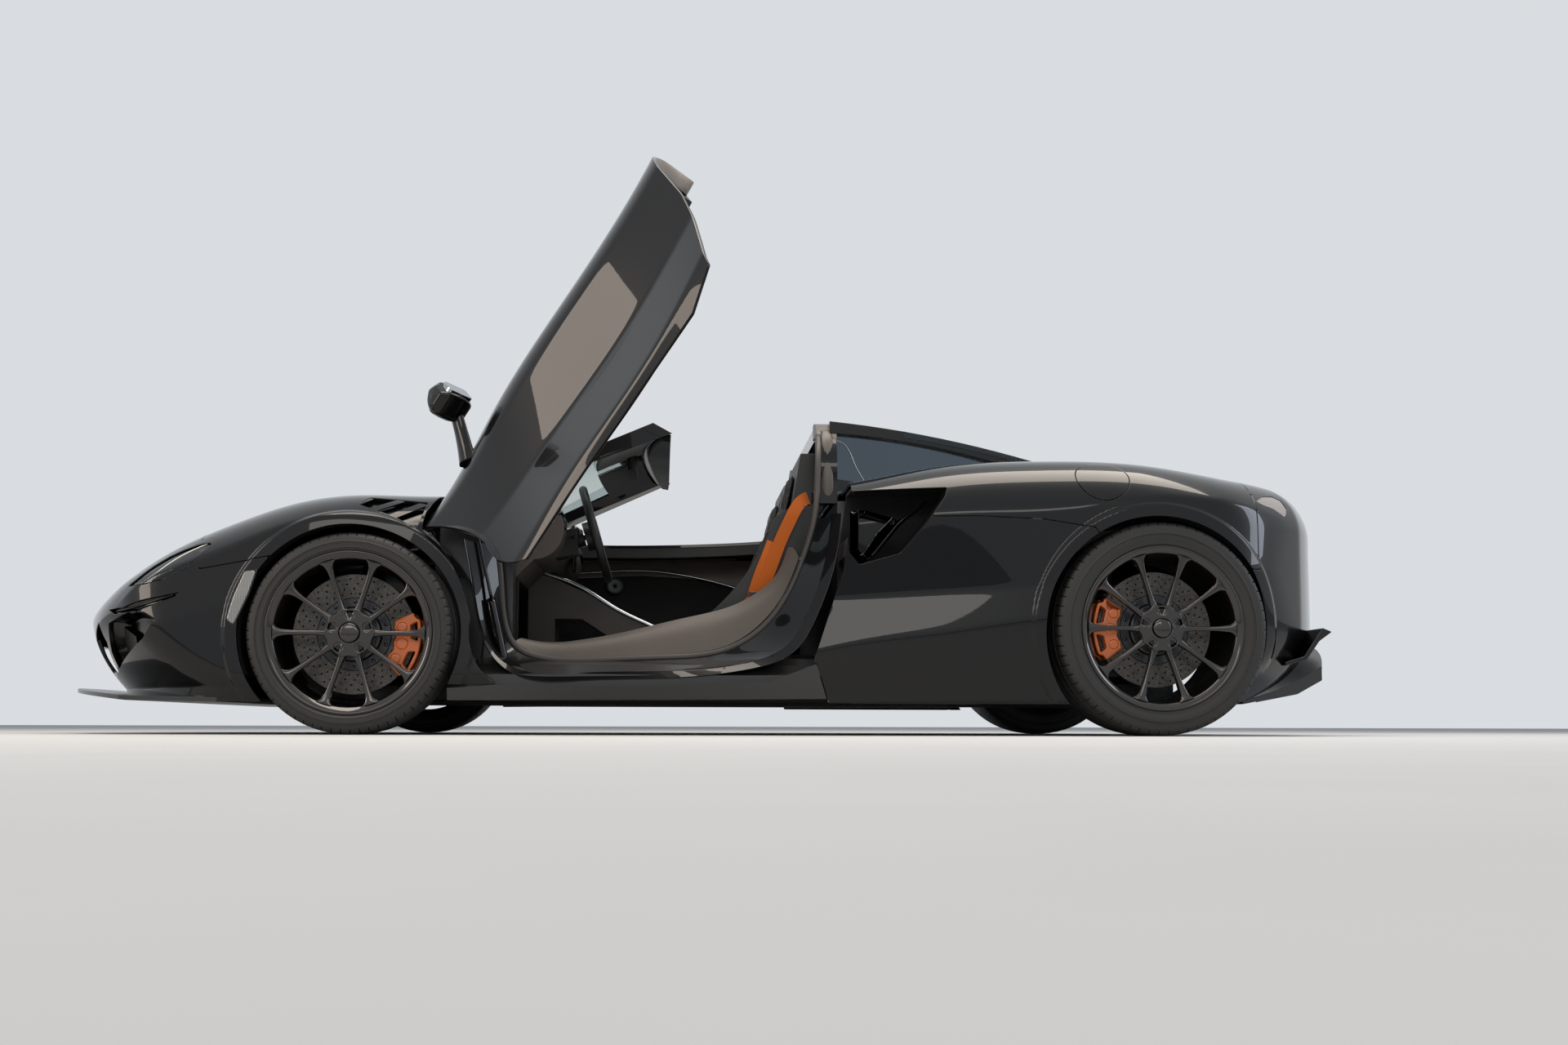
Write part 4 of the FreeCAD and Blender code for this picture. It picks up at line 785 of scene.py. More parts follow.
# Normals from the faces, for shapes that are drawn without their own.
def shaded(verts, faces):
    verts = np.array(verts, float)
    norms = np.zeros(verts.shape)
    for face in faces:
        corners = verts[list(face)]
        push = np.zeros(3)
        for k in range(1, len(face) - 1):
            push += np.cross(corners[k] - corners[0], corners[k + 1] - corners[0])
        for k in face:
            norms[k] += push
    return verts, unit(norms), [tuple(face) for face in faces]


# Turns a line of (along Y, radius) points round the Y axis.
def lathe(profile, count):
    angles = np.radians(np.linspace(0, 360.0, count, endpoint=False))
    profile = np.array(profile, float)
    verts = np.stack([np.outer(np.sin(angles), profile[:, 1]), np.tile(profile[:, 0], (count, 1)),
                      np.outer(np.cos(angles), profile[:, 1])], -1).reshape(-1, 3)
    size = len(profile)
    faces = []
    for i in range(count):
        a, b = i * size, (i + 1) % count * size
        faces += [(a + k, a + k + 1, b + k + 1, b + k) for k in range(size - 1)]
    return shaded(verts, faces)


# Rounds the corners of an open or closed line of points.
def rounded_line(points, radius, closed=False, steps=5):
    points = [np.array(p, float) for p in points]
    out = []
    last = len(points) - 1
    for i, p in enumerate(points):
        if not closed and i in (0, last):
            out.append(p)
            continue
        before, after = points[i - 1] - p, points[(i + 1) % len(points)] - p
        reach = min(radius, np.linalg.norm(before) * 0.45, np.linalg.norm(after) * 0.45)
        a = p + before / max(np.linalg.norm(before), 1e-9) * reach
        b = p + after / max(np.linalg.norm(after), 1e-9) * reach
        for share in np.linspace(0, 1, steps):
            out.append((1 - share) ** 2 * a + 2 * share * (1 - share) * p + share ** 2 * b)
    return np.array(out)


# A closed line moved outward by `amount`.
def grown(line, amount):
    line = np.array(line, float)
    before = line - np.roll(line, 1, 0)
    after = np.roll(line, -1, 0) - line
    area = (line[:, 0] * np.roll(line[:, 1], -1) - line[:, 1] * np.roll(line[:, 0], -1)).sum()
    turn = 1 if area > 0 else -1
    a = unit(np.stack([before[:, 1], -before[:, 0]], 1)) * turn
    b = unit(np.stack([after[:, 1], -after[:, 0]], 1)) * turn
    middle = unit(a + b)
    stretch = np.clip(1 / np.maximum((middle * a).sum(1), 0.3), 1, 2)
    return line + middle * stretch[:, None] * amount


# A plate with rounded edges and holes. `line` is its outline seen from +h, counter-clockwise.
def slab(line, low, high, edge=1.0, holes=(), back=True):
    loops = [np.array(line, float)] + [np.array(hole, float) for hole in holes]
    verts, norms, faces, tops, bottoms = [], [], [], [], []
    for k, loop in enumerate(loops):
        area = (loop[:, 0] * np.roll(loop[:, 1], -1) - loop[:, 1] * np.roll(loop[:, 0], -1)).sum()
        if (area > 0) == (k > 0):
            loop = loop[::-1]
        sign = 1 if k == 0 else -1
        out = unit(grown(loop, sign) - loop)
        rings = [(-1.0, high, 0.0), (-0.3, high - 0.3 * edge, 0.7), (0.0, high - edge, 1.0),
                 (0.0, low, 1.0)]
        first = len(verts)
        for share, h, lean in rings:
            ring = loop + out * (share * edge)
            for point, away in zip(ring, out):
                verts.append((point[0], point[1], h))
                up = math.sqrt(max(0.0, 1 - lean * lean))
                norms.append((away[0] * lean, away[1] * lean, up))
        size = len(loop)
        for r in range(3):
            for i in range(size):
                a, b = first + r * size + i, first + r * size + (i + 1) % size
                faces.append((a, a + size, b + size, b))
        tops.append((first, size))
        bottoms.append((first + 3 * size, size))
    verts, norms = np.array(verts), np.array(norms)
    for rings, flip in ((tops, False), (bottoms, True)) if back else ((tops, False),):
        index = np.concatenate([np.arange(first, first + size) for first, size in rings])
        flat = [Vector(verts[k][:2]) for k in index]
        edges, at = [], 0
        for first, size in rings:
            edges += [(at + i, at + (i + 1) % size) for i in range(size)]
            at += size
        spots, _, pieces, source, _, _ = delaunay_2d_cdt(flat, edges, [], 0, 1e-7)
        where = [int(index[one[0]]) if one else -1 for one in source]
        middles = np.array([[sum(spots[k][0] for k in f) / 3,
                             sum(spots[k][1] for k in f) / 3] for f in pieces])
        inside = np.zeros(len(pieces), bool)
        for first, size in rings:
            ring = verts[first:first + size, :2]
            for (x1, y1), (x2, y2) in zip(ring, np.roll(ring, -1, 0)):
                if y1 != y2:
                    inside ^= ((y1 > middles[:, 1]) != (y2 > middles[:, 1])) & (
                        middles[:, 0] < (x2 - x1) * (middles[:, 1] - y1) / (y2 - y1) + x1)
        if flip:
            start = len(verts)
            verts = np.concatenate([verts, verts[index]])
            norms = np.concatenate([norms, np.tile((0, 0, -1.0), (len(index), 1))])
            renumber = {int(k): start + n for n, k in enumerate(index)}
            where = [renumber.get(k, -1) for k in where]
        for one, keep in zip(pieces, inside):
            corners = [where[k] for k in one]
            if keep and min(corners) >= 0:
                faces.append(tuple(corners[::-1] if flip else corners))
    return verts, norms, faces


# Maps a shape's own axes to new ones: the directions of its first, second and third axis.
def turned_to(shape, first, second, third, origin=(0, 0, 0)):
    verts, norms, faces = shape
    axes = np.array((first, second, third), float)
    flip = np.linalg.det(axes) < 0
    return verts @ axes + np.array(origin,
                                   float), norms @ axes, [face[::-1] if flip else face for face in faces]


# The axes for a slab that is drawn facing +Y, with its second axis up or down.
OUTBOARD = (1, 0, 0), (0, 0, 1), (0, 1, 0)
OUTBOARD_DOWN = (1, 0, 0), (0, 0, -1), (0, 1, 0)


def moved(shape, offset):
    verts, norms, faces = shape
    return verts + offset, norms, faces


def rotated(shape, turn):
    c, s = math.cos(turn), math.sin(turn)
    spin = np.array(((c, 0, -s), (0, 1, 0), (s, 0, c)))
    return shape[0] @ spin, shape[1] @ spin, shape[2]


# Copies of a shape round the Y axis.
def spun(shape, count, first=0.0):
    return joined(*[rotated(shape, math.radians(first + 360.0 * k / count)) for k in range(count)])


def on_axle(shape, end, side):
    verts, norms, faces = shape
    verts = verts / 1000.0 + np.array((end["x"], end["y"], end["radius"])) / 1000.0
    placed = verts, norms, faces
    return other_side(placed) if side == "right" else placed


def circle(radius, count, middle=(0, 0)):
    turns = np.arange(count) * 2 * math.pi / count
    return np.stack([middle[0] + radius * np.cos(turns), middle[1] + radius * np.sin(turns)], 1)


# Points given as (radius, degrees).
def polar(spots):
    return [(r * math.cos(math.radians(t)), r * math.sin(math.radians(t))) for r, t in spots]


# Tread rubber: nearly black, dull, with a fine grain about 2 mm across.
def tyre_rubber():
    made, tree = material("tyre_rubber")
    grain = texture(tree, "Noise", Scale=500.0, Detail=3.0)
    dust = texture(tree, "Noise", Scale=9.0, Detail=4.0)
    tint = blend(tree, dust.outputs["Fac"], "#191817", "#242220")
    bump = add(tree, "Bump", Height=grain.outputs["Fac"], Strength=0.12, Distance=0.001)
    rough = add(tree, "MapRange", Value=dust.outputs["Fac"], _3=0.5, _4=0.66)
    return finished(made, Base_Color=tint, Roughness=rough.outputs[0], Normal=bump.outputs[0])


# Carbon-ceramic disc: mottled dark grey fibre under a thin ground face.
def ceramic_disc():
    made, tree = material("carbon_ceramic_disc")
    chips = texture(tree, "Voronoi", Scale=190.0)
    tint = blend(tree, chips.outputs["Color"], "#2f2d2b", "#5c5853")
    rough = add(tree, "MapRange", Value=chips.outputs["Distance"], _3=0.3, _4=0.5)
    return finished(made, Base_Color=tint, Metallic=0.35, Roughness=rough.outputs[0])


# Caliper paint: warm orange lacquer with faint orange peel, glossy.
def orange_lacquer():
    made, tree = material("orange_caliper_lacquer")
    peel = texture(tree, "Noise", Scale=240.0, Detail=2.0)
    bump = add(tree, "Bump", Height=peel.outputs["Fac"], Strength=0.08, Distance=0.001)
    tint = blend(tree, peel.outputs["Fac"], "#c95a0c", "#de6f14")
    return finished(made, Base_Color=tint, Roughness=0.32, Coat_Weight=0.8, Coat_Roughness=0.06,
                    Normal=bump.outputs[0])


# Bare steel and alloy: grey metal with faint turning marks.
def turned_metal(name, dark, pale, roughness):
    marks = {"Scale": 140.0, "Detail": 5.0}
    return two_tone(name, "Noise", marks, dark, pale, Metallic=1.0, Roughness=roughness)


# Rim lacquer is a dark bronze-black metallic under clear coat, with a soft sheen.
rubber = tyre_rubber()
rim_lacquer = two_tone("dark_rim_lacquer", "Noise", {"Scale": 900.0, "Detail": 2.0}, "#181513", "#2c2723",
                       Metallic=0.7, Roughness=0.3, Coat_Weight=1.0, Coat_Roughness=0.03)
disc_face = ceramic_disc()
orange = orange_lacquer()
dark_steel = turned_metal("blackened_steel", "#26272a", "#3a3b3e", 0.32)
bright_steel = turned_metal("machined_steel", "#8d8e90", "#b4b5b6", 0.28)
hat_steel = turned_metal("grey_anodised_hat", "#3b3c3e", "#4d4e50", 0.38)


# Tyre: a section with moulded ridges on its walls and two grooves in the tread, with a notch
# in each shoulder at every pitch.
def tyre(end):
    half, bead, radius = end["half"], end["bead"], end["radius"]
    belly = bead + (radius - bead) * 0.5
    side = [(half - 19.4, bead), (half - 16.5, bead + 9), (half - 9.5, bead + 15), (half - 8.5, bead + 20),
            (half - 5, bead + 24), (half - 1.2, belly - 10), (half, belly), (half - 0.8, belly + 9),
            (half - 3.5, radius - 19), (half - 8, radius - 11.5), (half - 14, radius - 6),
            (half - 22, radius - 3.6)]
    side = rounded_line(side, 7, steps=3)
    for low in (bead + 31, belly + 5, belly + 8.5):
        nearest = np.argmin(np.abs(side[:, 1] - low))
        y, r = side[nearest]
        ridge = np.array([(y, r - 1.6), (y + 1.7, r - 0.8), (y + 1.7, r + 0.8), (y, r + 1.6)])
        side = np.concatenate([side[:nearest], ridge, side[nearest + 1:]])
        side = side[np.argsort(side[:, 1], kind="stable")]
    tread = []
    grooves = (half * 0.22, half * 0.58)
    for y in np.linspace(half - 26, 0, 12):
        crown = radius - 3.4 * (y / (half - 22)) ** 4
        if all(abs(y - g) > 6 for g in grooves):
            tread.append((y, crown))
    for g in grooves:
        crown = radius - 3.4 * (g / (half - 22)) ** 4
        tread += [(g + 5, crown), (g + 4, crown - 6.5), (g - 4, crown - 6.5), (g - 5, crown)]
    tread.sort(key=lambda item: -item[0])
    outer = np.concatenate([side, tread])
    profile = np.concatenate([outer, (outer[:-1] * (-1, 1))[::-1]])
    pitches = 66
    shares = (0.0, 0.085, 0.105, 0.98)
    angles = np.array([(k + s) * 2 * math.pi / pitches for k in range(pitches) for s in shares])
    cut = np.tile((True, True, False, False), pitches)
    count, size = len(angles), len(profile)
    shoulder = np.clip((half - 3 - np.abs(profile[:, 0])) / 4, 0, 1) * (np.abs(profile[:, 0]) > half * 0.66)
    shoulder = shoulder * (profile[:, 1] > radius - 16)
    drop = np.outer(cut, shoulder) * 6.5
    reach = profile[None, :, 1] - drop
    near_tread = profile[None, :, 1] > radius - 16
    lean = angles[:, None] + 0.035 * np.abs(profile[None, :, 0]) / half * near_tread
    verts = np.stack([np.sin(lean) * reach, np.tile(profile[:, 0], (count, 1)), np.cos(lean) * reach],
                     -1).reshape(-1, 3)
    faces = []
    for i in range(count):
        a, b = i * size, (i + 1) % count * size
        faces += [(a + k, b + k, b + k + 1, a + k + 1) for k in range(size - 1)]
    return shaded(verts, faces)


# Rim: a turned barrel, ten spokes of one section, a boss with lug holes and a centre cap.
SPOKE = [(-1, -1), (-1.12, -0.55), (-1.02, -0.16), (-0.86, -0.04), (-0.45, 0), (0, 0.02), (0.45, 0),
         (0.86, -0.04), (1.02, -0.16), (1.12, -0.55), (1, -1)]


def wheel_rim(end):
    half, bead, face = end["half"], end["bead"], end["face"]
    inner = bead - 7
    lip = rounded_line([(half - 16, bead + 2), (half - 9, bead + 19), (half - 4.2, bead + 20),
                        (half - 4.0, bead + 13), (half - 8, bead + 6), (half - 17, inner + 2),
                        (half - 40, inner), (10, inner - 10), (-half + 30, inner - 10), (-half + 8, inner),
                        (-half + 4, bead + 19), (-half + 8, bead + 20),
                        (-half + 15, bead + 1)], 3.5, steps=4)
    barrel_shape = lathe(lip[::-1], 160)
    reach = np.array([40, 56, 68, 80, 94, 112, 135, 160, 185, 205, inner - 16, inner - 7, inner - 1,
                      inner + 3])
    wide = np.interp(reach, [40, 56, 68, 80, 94, 112, 150, 185, 205, inner - 16, inner - 7, inner,
                             inner + 3],
                     [16, 15, 13, 10.6, 8.8, 7.6, 7.0, 7.8, 9.4, 12.5, 17, 25, 27])
    front = np.interp(reach, [40, 70, 100, 160, 205, inner], [-3, -4, -6, -4, 1, half - face - 12]) + face
    deep = np.interp(reach, [40, 90, 160, inner], [34, 32, 25, 24])
    verts, size = [], 11
    for r, w, f, d in zip(reach, wide, front, deep):
        for a, b in SPOKE:
            verts.append((a * w, f + b * d, r))
    faces = []
    for i in range(len(reach) - 1):
        for k in range(size):
            a, b = i * size + k, i * size + (k + 1) % size
            faces.append((a, b, b + size, a + size))
    spokes = spun(shaded(verts, faces), 10, 18)
    lugs = []
    for k in range(5):
        turn = math.radians(72 * k)
        lugs.append(circle(14.5, 28, (57 * math.sin(turn), 57 * math.cos(turn))))
    turns = np.radians(np.arange(0, 360, 3))
    scallop = 77 + 3.0 * np.cos(10 * turns)
    boss_line = np.stack([scallop * np.cos(turns), scallop * np.sin(turns)], 1)
    boss = slab(boss_line, end["mount"] + 2, face + 1, 4.0, holes=lugs + [circle(32.5, 48)], back=False)
    boss = turned_to(boss, *OUTBOARD)
    cap = lathe(rounded_line([(face + 8.6, 0.01), (face + 8.2, 12), (face + 6.5, 24), (face + 3.5, 30.5),
                              (face - 8, 31.5)],
                             4, steps=4), 64)
    cap_ring = lathe([(face - 8, 31.4), (face - 8, 33)], 48)
    return joined(barrel_shape, spokes, boss, cap, cap_ring)


# Five nuts, each with a hexagon on a round skirt, and the drilled and vaned brake disc.
def wheel_nuts(end):
    face = end["face"]
    hexagon = rounded_line(circle(10.6, 6), 1.2, closed=True, steps=3)
    nut = slab(hexagon, -24, -4, 2.2, back=False)
    skirt = lathe([(-8, 13.2), (-15, 13.6), (-24, 13.8)], 32)
    nut = turned_to(nut, *OUTBOARD, (0, face, 57))
    return spun(joined(nut, moved(skirt, (0, face - 4, 57))), 5)


def brake_disc(end):
    mount = end["mount"]
    outer, inner = mount - 16, mount - 50
    holes = []
    for row in range(30):
        for k, r in enumerate((132, 148, 164, 180)):
            holes.append(circle(2.9, 8, polar([(r, row * 12 + k * 4.2)])[0]))
    ring = slab(circle(194.5, 120), outer - 9, outer, 0.8, holes=holes + [circle(118, 72)], back=False)
    ring = turned_to(ring, *OUTBOARD)
    rear = lathe([(inner + 9, 118), (inner, 119), (inner, 194), (inner + 9, 194.5)], 96)
    vanes = slab(rounded_line([(120, -1.8), (193, -4.0), (193, 0.2), (120, 2.2)], 1, closed=True, steps=2),
                 inner + 9, outer - 9, 0.2, back=False)
    vanes = spun(turned_to(vanes, *OUTBOARD), 48)
    return joined(ring, rear, vanes)


def disc_hat(end):
    mount = end["mount"]
    hat = lathe(rounded_line([(mount - 22, 117.6), (mount - 13.5, 117), (mount - 13.5, 90),
                              (mount - 2, 86), (mount, 80), (mount, 33)], 3, steps=4)[::-1], 96)
    bobbin = lathe([(3.2, 0.01), (3.2, 5), (1.5, 6.4), (-2, 6.4)], 16)
    return joined(hat, spun(moved(bobbin, (0, mount - 13, 106)), 10))


# Caliper: six-piston body with bridge windows, drawn round the disc's top and then turned.
def caliper(end):
    mount = end["mount"]
    face = mount + 19.5
    outer_arc = [(219 if 6 < t < 56 else 205, t) for t in np.linspace(0, 62, 26)]
    inner_arc = []
    for t in np.linspace(60, 2, 40):
        inner_arc.append((131 + 7 * abs(math.cos(math.radians((t - 2) * 180 / 19.3))), t))
    line = rounded_line(polar(outer_arc + inner_arc), 4, closed=True, steps=2)
    windows = []
    for low, high in ((9, 26), (36, 53)):
        corners = polar([(208, low), (208, high), (186, high - 2), (186, low + 2)])
        windows.append(rounded_line(corners, 5, closed=True, steps=4))
    body = slab(line, mount - 12, face, 5.0, holes=windows)
    parts = [turned_to(body, *OUTBOARD_DOWN)]
    for t, r, size in ((12, 158, 17), (31, 160, 20), (50, 158, 17)):
        dome = rounded_line([(3.4, 0.01), (3.4, size - 4), (0.8, size), (-2, size + 1)], 2.5, steps=4)
        turn = math.radians(t)
        parts.append(moved(lathe(dome, 40), (r * math.cos(turn), face, -r * math.sin(turn))))
    rear_half = slab(line, mount - 90, mount - 55, 4.0)
    parts.append(turned_to(rear_half, *OUTBOARD_DOWN))
    bridge_line = rounded_line(polar(oblong(219, 27, 200, 35)), 2, closed=True, steps=2)
    bridge = slab(bridge_line, mount - 56, mount - 11, 1.0)
    parts.append(turned_to(bridge, *OUTBOARD_DOWN))
    return rotated(joined(*parts), math.radians(end["caliper"]))


# Each wheel's pieces ride on it; the front calipers ride on the knuckles and the rear ones
# on the chassis.
for end_name, end in (("front", FRONT), ("rear", REAR)):
    tyre_shape, rim_shape, nut_shape = tyre(end), wheel_rim(end), wheel_nuts(end)
    disc_shape, hat_shape, caliper_shape = brake_disc(end), disc_hat(end), caliper(end)
    for side in ("left", "right"):
        spot = "%s_%s" % (end_name, side)
        wheel = "wheel_" + spot
        show("tread_" + spot, on_axle(tyre_shape, end, side), rubber, wheel, "tyre_" + spot)
        show("spoked_rim_" + spot, on_axle(rim_shape, end, side), rim_lacquer, wheel, "rim_" + spot)
        show("lug_nuts_" + spot, on_axle(nut_shape, end, side), dark_steel, wheel)
        show("drilled_disc_" + spot, on_axle(disc_shape, end, side), disc_face, wheel, "brake_disc_" + spot)
        show("disc_hat_" + spot, on_axle(hat_shape, end, side), hat_steel, wheel)
    if end_name == "front":
        for side in ("left", "right"):
            show("brake_caliper_front_" + side, on_axle(caliper_shape, end, side), orange,
                 "knuckle_" + side, "caliper_front_" + side)
    else:
        show("brake_calipers_rear", paired(on_axle(caliper_shape, end, "left")), orange, "chassis",
             "calipers_rear")
painted(dark_steel, "knuckle_front_left", "knuckle_front_right", "knuckles_rear")


# Fixed parts that are carried over from the CAD part take their finish here. Splitter,
# skirts, diffuser and tub are carbon under satin lacquer; its 2 mm tows are drawn 4 mm
# wide, the smallest that shows. Liners are plastic, the engine and links cast alloy.
def satin_carbon():
    made, tree = material("satin_carbon_weave")
    weave = texture(tree, "Checker", Scale=250.0)
    weave.inputs["Color1"].default_value = linear("#0c0c0d")
    weave.inputs["Color2"].default_value = linear("#1a1a1c")
    rounded = add(tree, "Bevel", {"samples": 4}, Radius=0.002)
    rough = add(tree, "MapRange", Value=weave.outputs["Fac"], _3=0.32, _4=0.5)
    return finished(made, Base_Color=weave.outputs["Color"], Roughness=rough.outputs[0], Coat_Weight=0.5,
                    Coat_Roughness=0.18, Normal=rounded.outputs[0])


# Moulded plastic: black, dull, with a fine grain that catches only broad light.
def moulded_plastic(name, colour, roughness):
    made, tree = material(name)
    grain = texture(tree, "Noise", Scale=700.0, Detail=2.0)
    rounded = add(tree, "Bevel", {"samples": 4}, Radius=0.002)
    bump = add(tree, "Bump", Height=grain.outputs["Fac"], Strength=0.15, Distance=0.0006,
               Normal=rounded.outputs[0])
    rough = add(tree, "MapRange", Value=grain.outputs["Fac"], _3=roughness - 0.05, _4=roughness + 0.08)
    return finished(made, Base_Color=linear(colour), Roughness=rough.outputs[0], Normal=bump.outputs[0])


# Alloy castings and links: dull grey metal with mottled skin.
def cast_alloy():
    made, tree = material("cast_alloy")
    skin = texture(tree, "Noise", Scale=60.0, Detail=6.0)
    tint = blend(tree, skin.outputs["Fac"], "#3c3d3f", "#6a6b6d")
    rounded = add(tree, "Bevel", {"samples": 4}, Radius=0.003)
    return finished(made, Base_Color=tint, Metallic=0.9, Roughness=0.45, Normal=rounded.outputs[0])


# Glass: a clear body with a faint tint; the noise only moves its tint a little.
def glass(name, dark, pale, roughness):
    cloud = {"Scale": 3.0, "Detail": 1.0}
    return two_tone(name, "Noise", cloud, dark, pale, Roughness=roughness, Transmission_Weight=1.0,
                    IOR=1.45)


carbon = satin_carbon()
black_plastic = moulded_plastic("black_moulded_plastic", "#0d0d0e", 0.55)
liner_plastic = moulded_plastic("wheel_housing_plastic", "#080809", 0.8)
alloy = cast_alloy()
painted(carbon, "front_splitter", "side_skirts", "diffuser", "tub")
painted(liner_plastic, "arch_liners", "undertray", "front_boot", "intake_ducts")
painted(alloy, "suspension_front", "suspension_rear", "engine")
painted(turned_metal("exhaust_steel", "#5b5a58", "#8b8780", 0.25), "exhaust_tips")
painted(black_plastic, "rear_grille")
painted(glass("windscreen_glass", "#c9d6d2", "#d3dedb", 0.0), "windscreen")
painted(glass("smoked_side_glass", "#3f4a52", "#46525b", 0.0), "rear_glass")


# A shape moved in along its own normals.
def moved_in(shape, depth):
    verts, norms, faces = shape
    return verts - norms * depth, norms, faces


# A recess of the body surface: its rim lies at one depth and its middle at another.
def hollow(region, box, rim, middle):
    verts, norms, faces = cut_panel(region, *box, flange=0)
    share = np.clip(-region(verts) / 0.03, 0, 1) ** 0.7
    return shaded(verts - norms * (rim + (middle - rim) * share)[:, None], faces)


# A smooth line through points in millimetres, and a round tube along one.
def through(points, count):
    points = np.array(points, float) / 1000.0
    run = np.append(0, np.cumsum(np.linalg.norm(np.diff(points, axis=0), axis=1)))
    return spline(run, points, np.linspace(0, run[-1], count))


def tube(points, radius, count=60, sides=12, flat=1.0):
    line = through(points, count)
    run = unit(np.gradient(line, axis=0))
    across = unit(np.cross(run, (0.0, 1.0, 0.0)))
    over = np.cross(across, run)
    radius = np.atleast_1d(np.array(radius, float))
    radius = np.interp(np.linspace(0, 1, count), np.linspace(0, 1, len(radius)), radius)
    turns = np.arange(sides) * 2 * math.pi / sides
    ring = across[:, None] * np.cos(turns)[None, :, None] * flat
    ring = ring + over[:, None] * np.sin(turns)[None, :, None]
    verts = line[:, None] + ring * (radius / 1000.0)[:, None, None]
    faces = []
    for i in range(count - 1):
        a, b = i * sides, (i + 1) * sides
        faces += [(a + k, a + (k + 1) % sides, b + (k + 1) % sides, b + k) for k in range(sides)]
    faces += [tuple(range(sides))[::-1], tuple(range((count - 1) * sides, count * sides))]
    return shaded(verts.reshape(-1, 3), faces)


# Headlamps: a lacquered eyelid frames a deep black bowl, which holds a light guide and a
# ribbed reflector behind a thin smoked cover.
DEEP = [(1914, 472), (1875, 501), (1837, 537), (1784, 573), (1736, 595), (1688, 612), (1650, 616),
        (1640, 610), (1664, 574), (1712, 520), (1778, 490), (1846, 474)]
GUIDE = [(1866, 867, 460), (1848, 871, 483), (1814, 875, 508), (1777, 862, 542), (1723, 850, 580),
         (1681, 849, 601), (1648, 852, 614)]
REFLECTOR = [(1708, 519), (1689, 548), (1674, 577), (1645, 607), (1636, 606), (1660, 572), (1694, 524)]
far_lamp = from_top(oblong(1500, 542, 2100, 1100))
lamp_box = ((1.55, 0.5, 0.4), (2.1, 1.0, 0.75))
gloss_black = moulded_plastic("gloss_black_trim", "#050506", 0.12)
lens_glass = glass("smoked_lamp_lens", "#8b9093", "#979c9f", 0.0)


# Clear and silvered plastics of the lamps, with moulded ribs.
def ribbed_plastic(name, dark, pale, metallic):
    return two_tone(name, "Wave", {"Scale": 60.0}, dark, pale, Roughness=0.2, Metallic=metallic)


light_guide = ribbed_plastic("white_light_guide", "#c9c9c6", "#efefec", 0.0)
reflector_metal = ribbed_plastic("ribbed_lamp_reflector", "#565b5c", "#8f9594", 0.8)
eyelid = cut_panel(without(within(from_side(HEADLAMP), far_lamp), from_side(DEEP)), *lamp_box, flange=0.014)
show("lamp_eyelids", paired(eyelid), paint, "chassis", "headlamps")
cover = moved_in(cut_panel(within(from_side(DEEP, -1), far_lamp), *lamp_box, flange=0.003), 0.005)
show("lamp_covers", paired(cover), lens_glass, "chassis")
bowl = hollow(within(from_side(DEEP, 3), far_lamp), lamp_box, 0.010, 0.034)
show("lamp_bowls", paired(bowl), gloss_black, "chassis")
guide = tube([(x, y - 11, z) for x, y, z in GUIDE], 3.4, 60, 10)
show("lamp_light_guides", paired(guide), light_guide, "chassis")
reflector = moved_in(cut_panel(within(from_side(REFLECTOR), far_lamp), *lamp_box, flange=0.006), 0.009)
show("lamp_reflectors", paired(reflector), reflector_metal, "chassis")

# Front corners: a gloss recess under each lamp with a slim slot over it, and a round
# sensor beside them.
corner_box = ((1.6, 0.5, 0.15), (2.1, 1.0, 0.5))
corner = hollow(within(from_side(CORNER, 6), outer_front), corner_box, 0.012, 0.06)
slot = hollow(within(from_side(SLOT, 5), outer_front), corner_box, 0.010, 0.022)
show("corner_recesses", paired(joined(corner, slot)), gloss_black, "chassis")
slot_blade = [(1985, 737, 397), (1922, 824, 399), (1855, 876, 409), (1790, 896, 427), (1745, 902, 441)]
slot_blade = tube([(x, y - 6, z) for x, y, z in slot_blade], 2.6, 40, 8)
show("slot_blades", paired(slot_blade), paint, "chassis")


# Places a lathe shape, in millimetres about Y, at a point with its +Y along a direction.
def aimed(shape, spot, direction):
    y = unit(np.array(direction, float))
    x = unit(np.cross(y, (0.0, 0.0, 1.0)))
    z = np.cross(x, y)
    return turned_to((shape[0] / 1000.0, shape[1], shape[2]), x, y, z, spot)


sensor = lathe(rounded_line([(1, 0.01), (1, 6), (-1, 7), (1.5, 8.5), (-2, 10)], 1), 32)
sensor = aimed(sensor, (1.758, 0.907, 0.385), (0.1, 1, 0.05))
show("corner_sensors", paired(sensor), black_plastic, "chassis")

# Front intakes: black honeycomb mesh clipped in 45 mm behind each opening, and a plain skin
# 30 mm further back that keeps light out.
MESH_HOLES = ([(-10, 190), (330, 190), (385, 250), (330, 318), (-10, 318)],
              [(415, 185), (715, 185), (785, 300), (655, 402), (440, 338)])
mesh_back = []
for hole in MESH_HOLES:
    half_mesh = cut_panel(within(from_front(hole), front_only), (1.8, -0.01, 0.1), (2.4, 1.0, 0.5),
                          flange=0)
    mesh_back.append(doubled(moved_in(half_mesh, 0.045)))


def mesh_plastic():
    made, tree = material("honeycomb_mesh")
    cells = texture(tree, "Voronoi", {"feature": "DISTANCE_TO_EDGE"}, Scale=95.0, Randomness=0.0)
    # The cell middles are drawn near black as painted shade in the openings; the walls keep the plastic's
    # black.
    wall_mask = add(tree, "MapRange", Value=cells.outputs["Distance"], _1=0.06, _2=0.12, _3=1.0, _4=0.0)
    tint = blend(tree, wall_mask.outputs[0], "#020202", "#161617")
    bump = add(tree, "Bump", Height=wall_mask.outputs[0], Strength=0.6, Distance=0.004)
    return finished(made, Base_Color=tint, Roughness=0.45, Normal=bump.outputs[0])


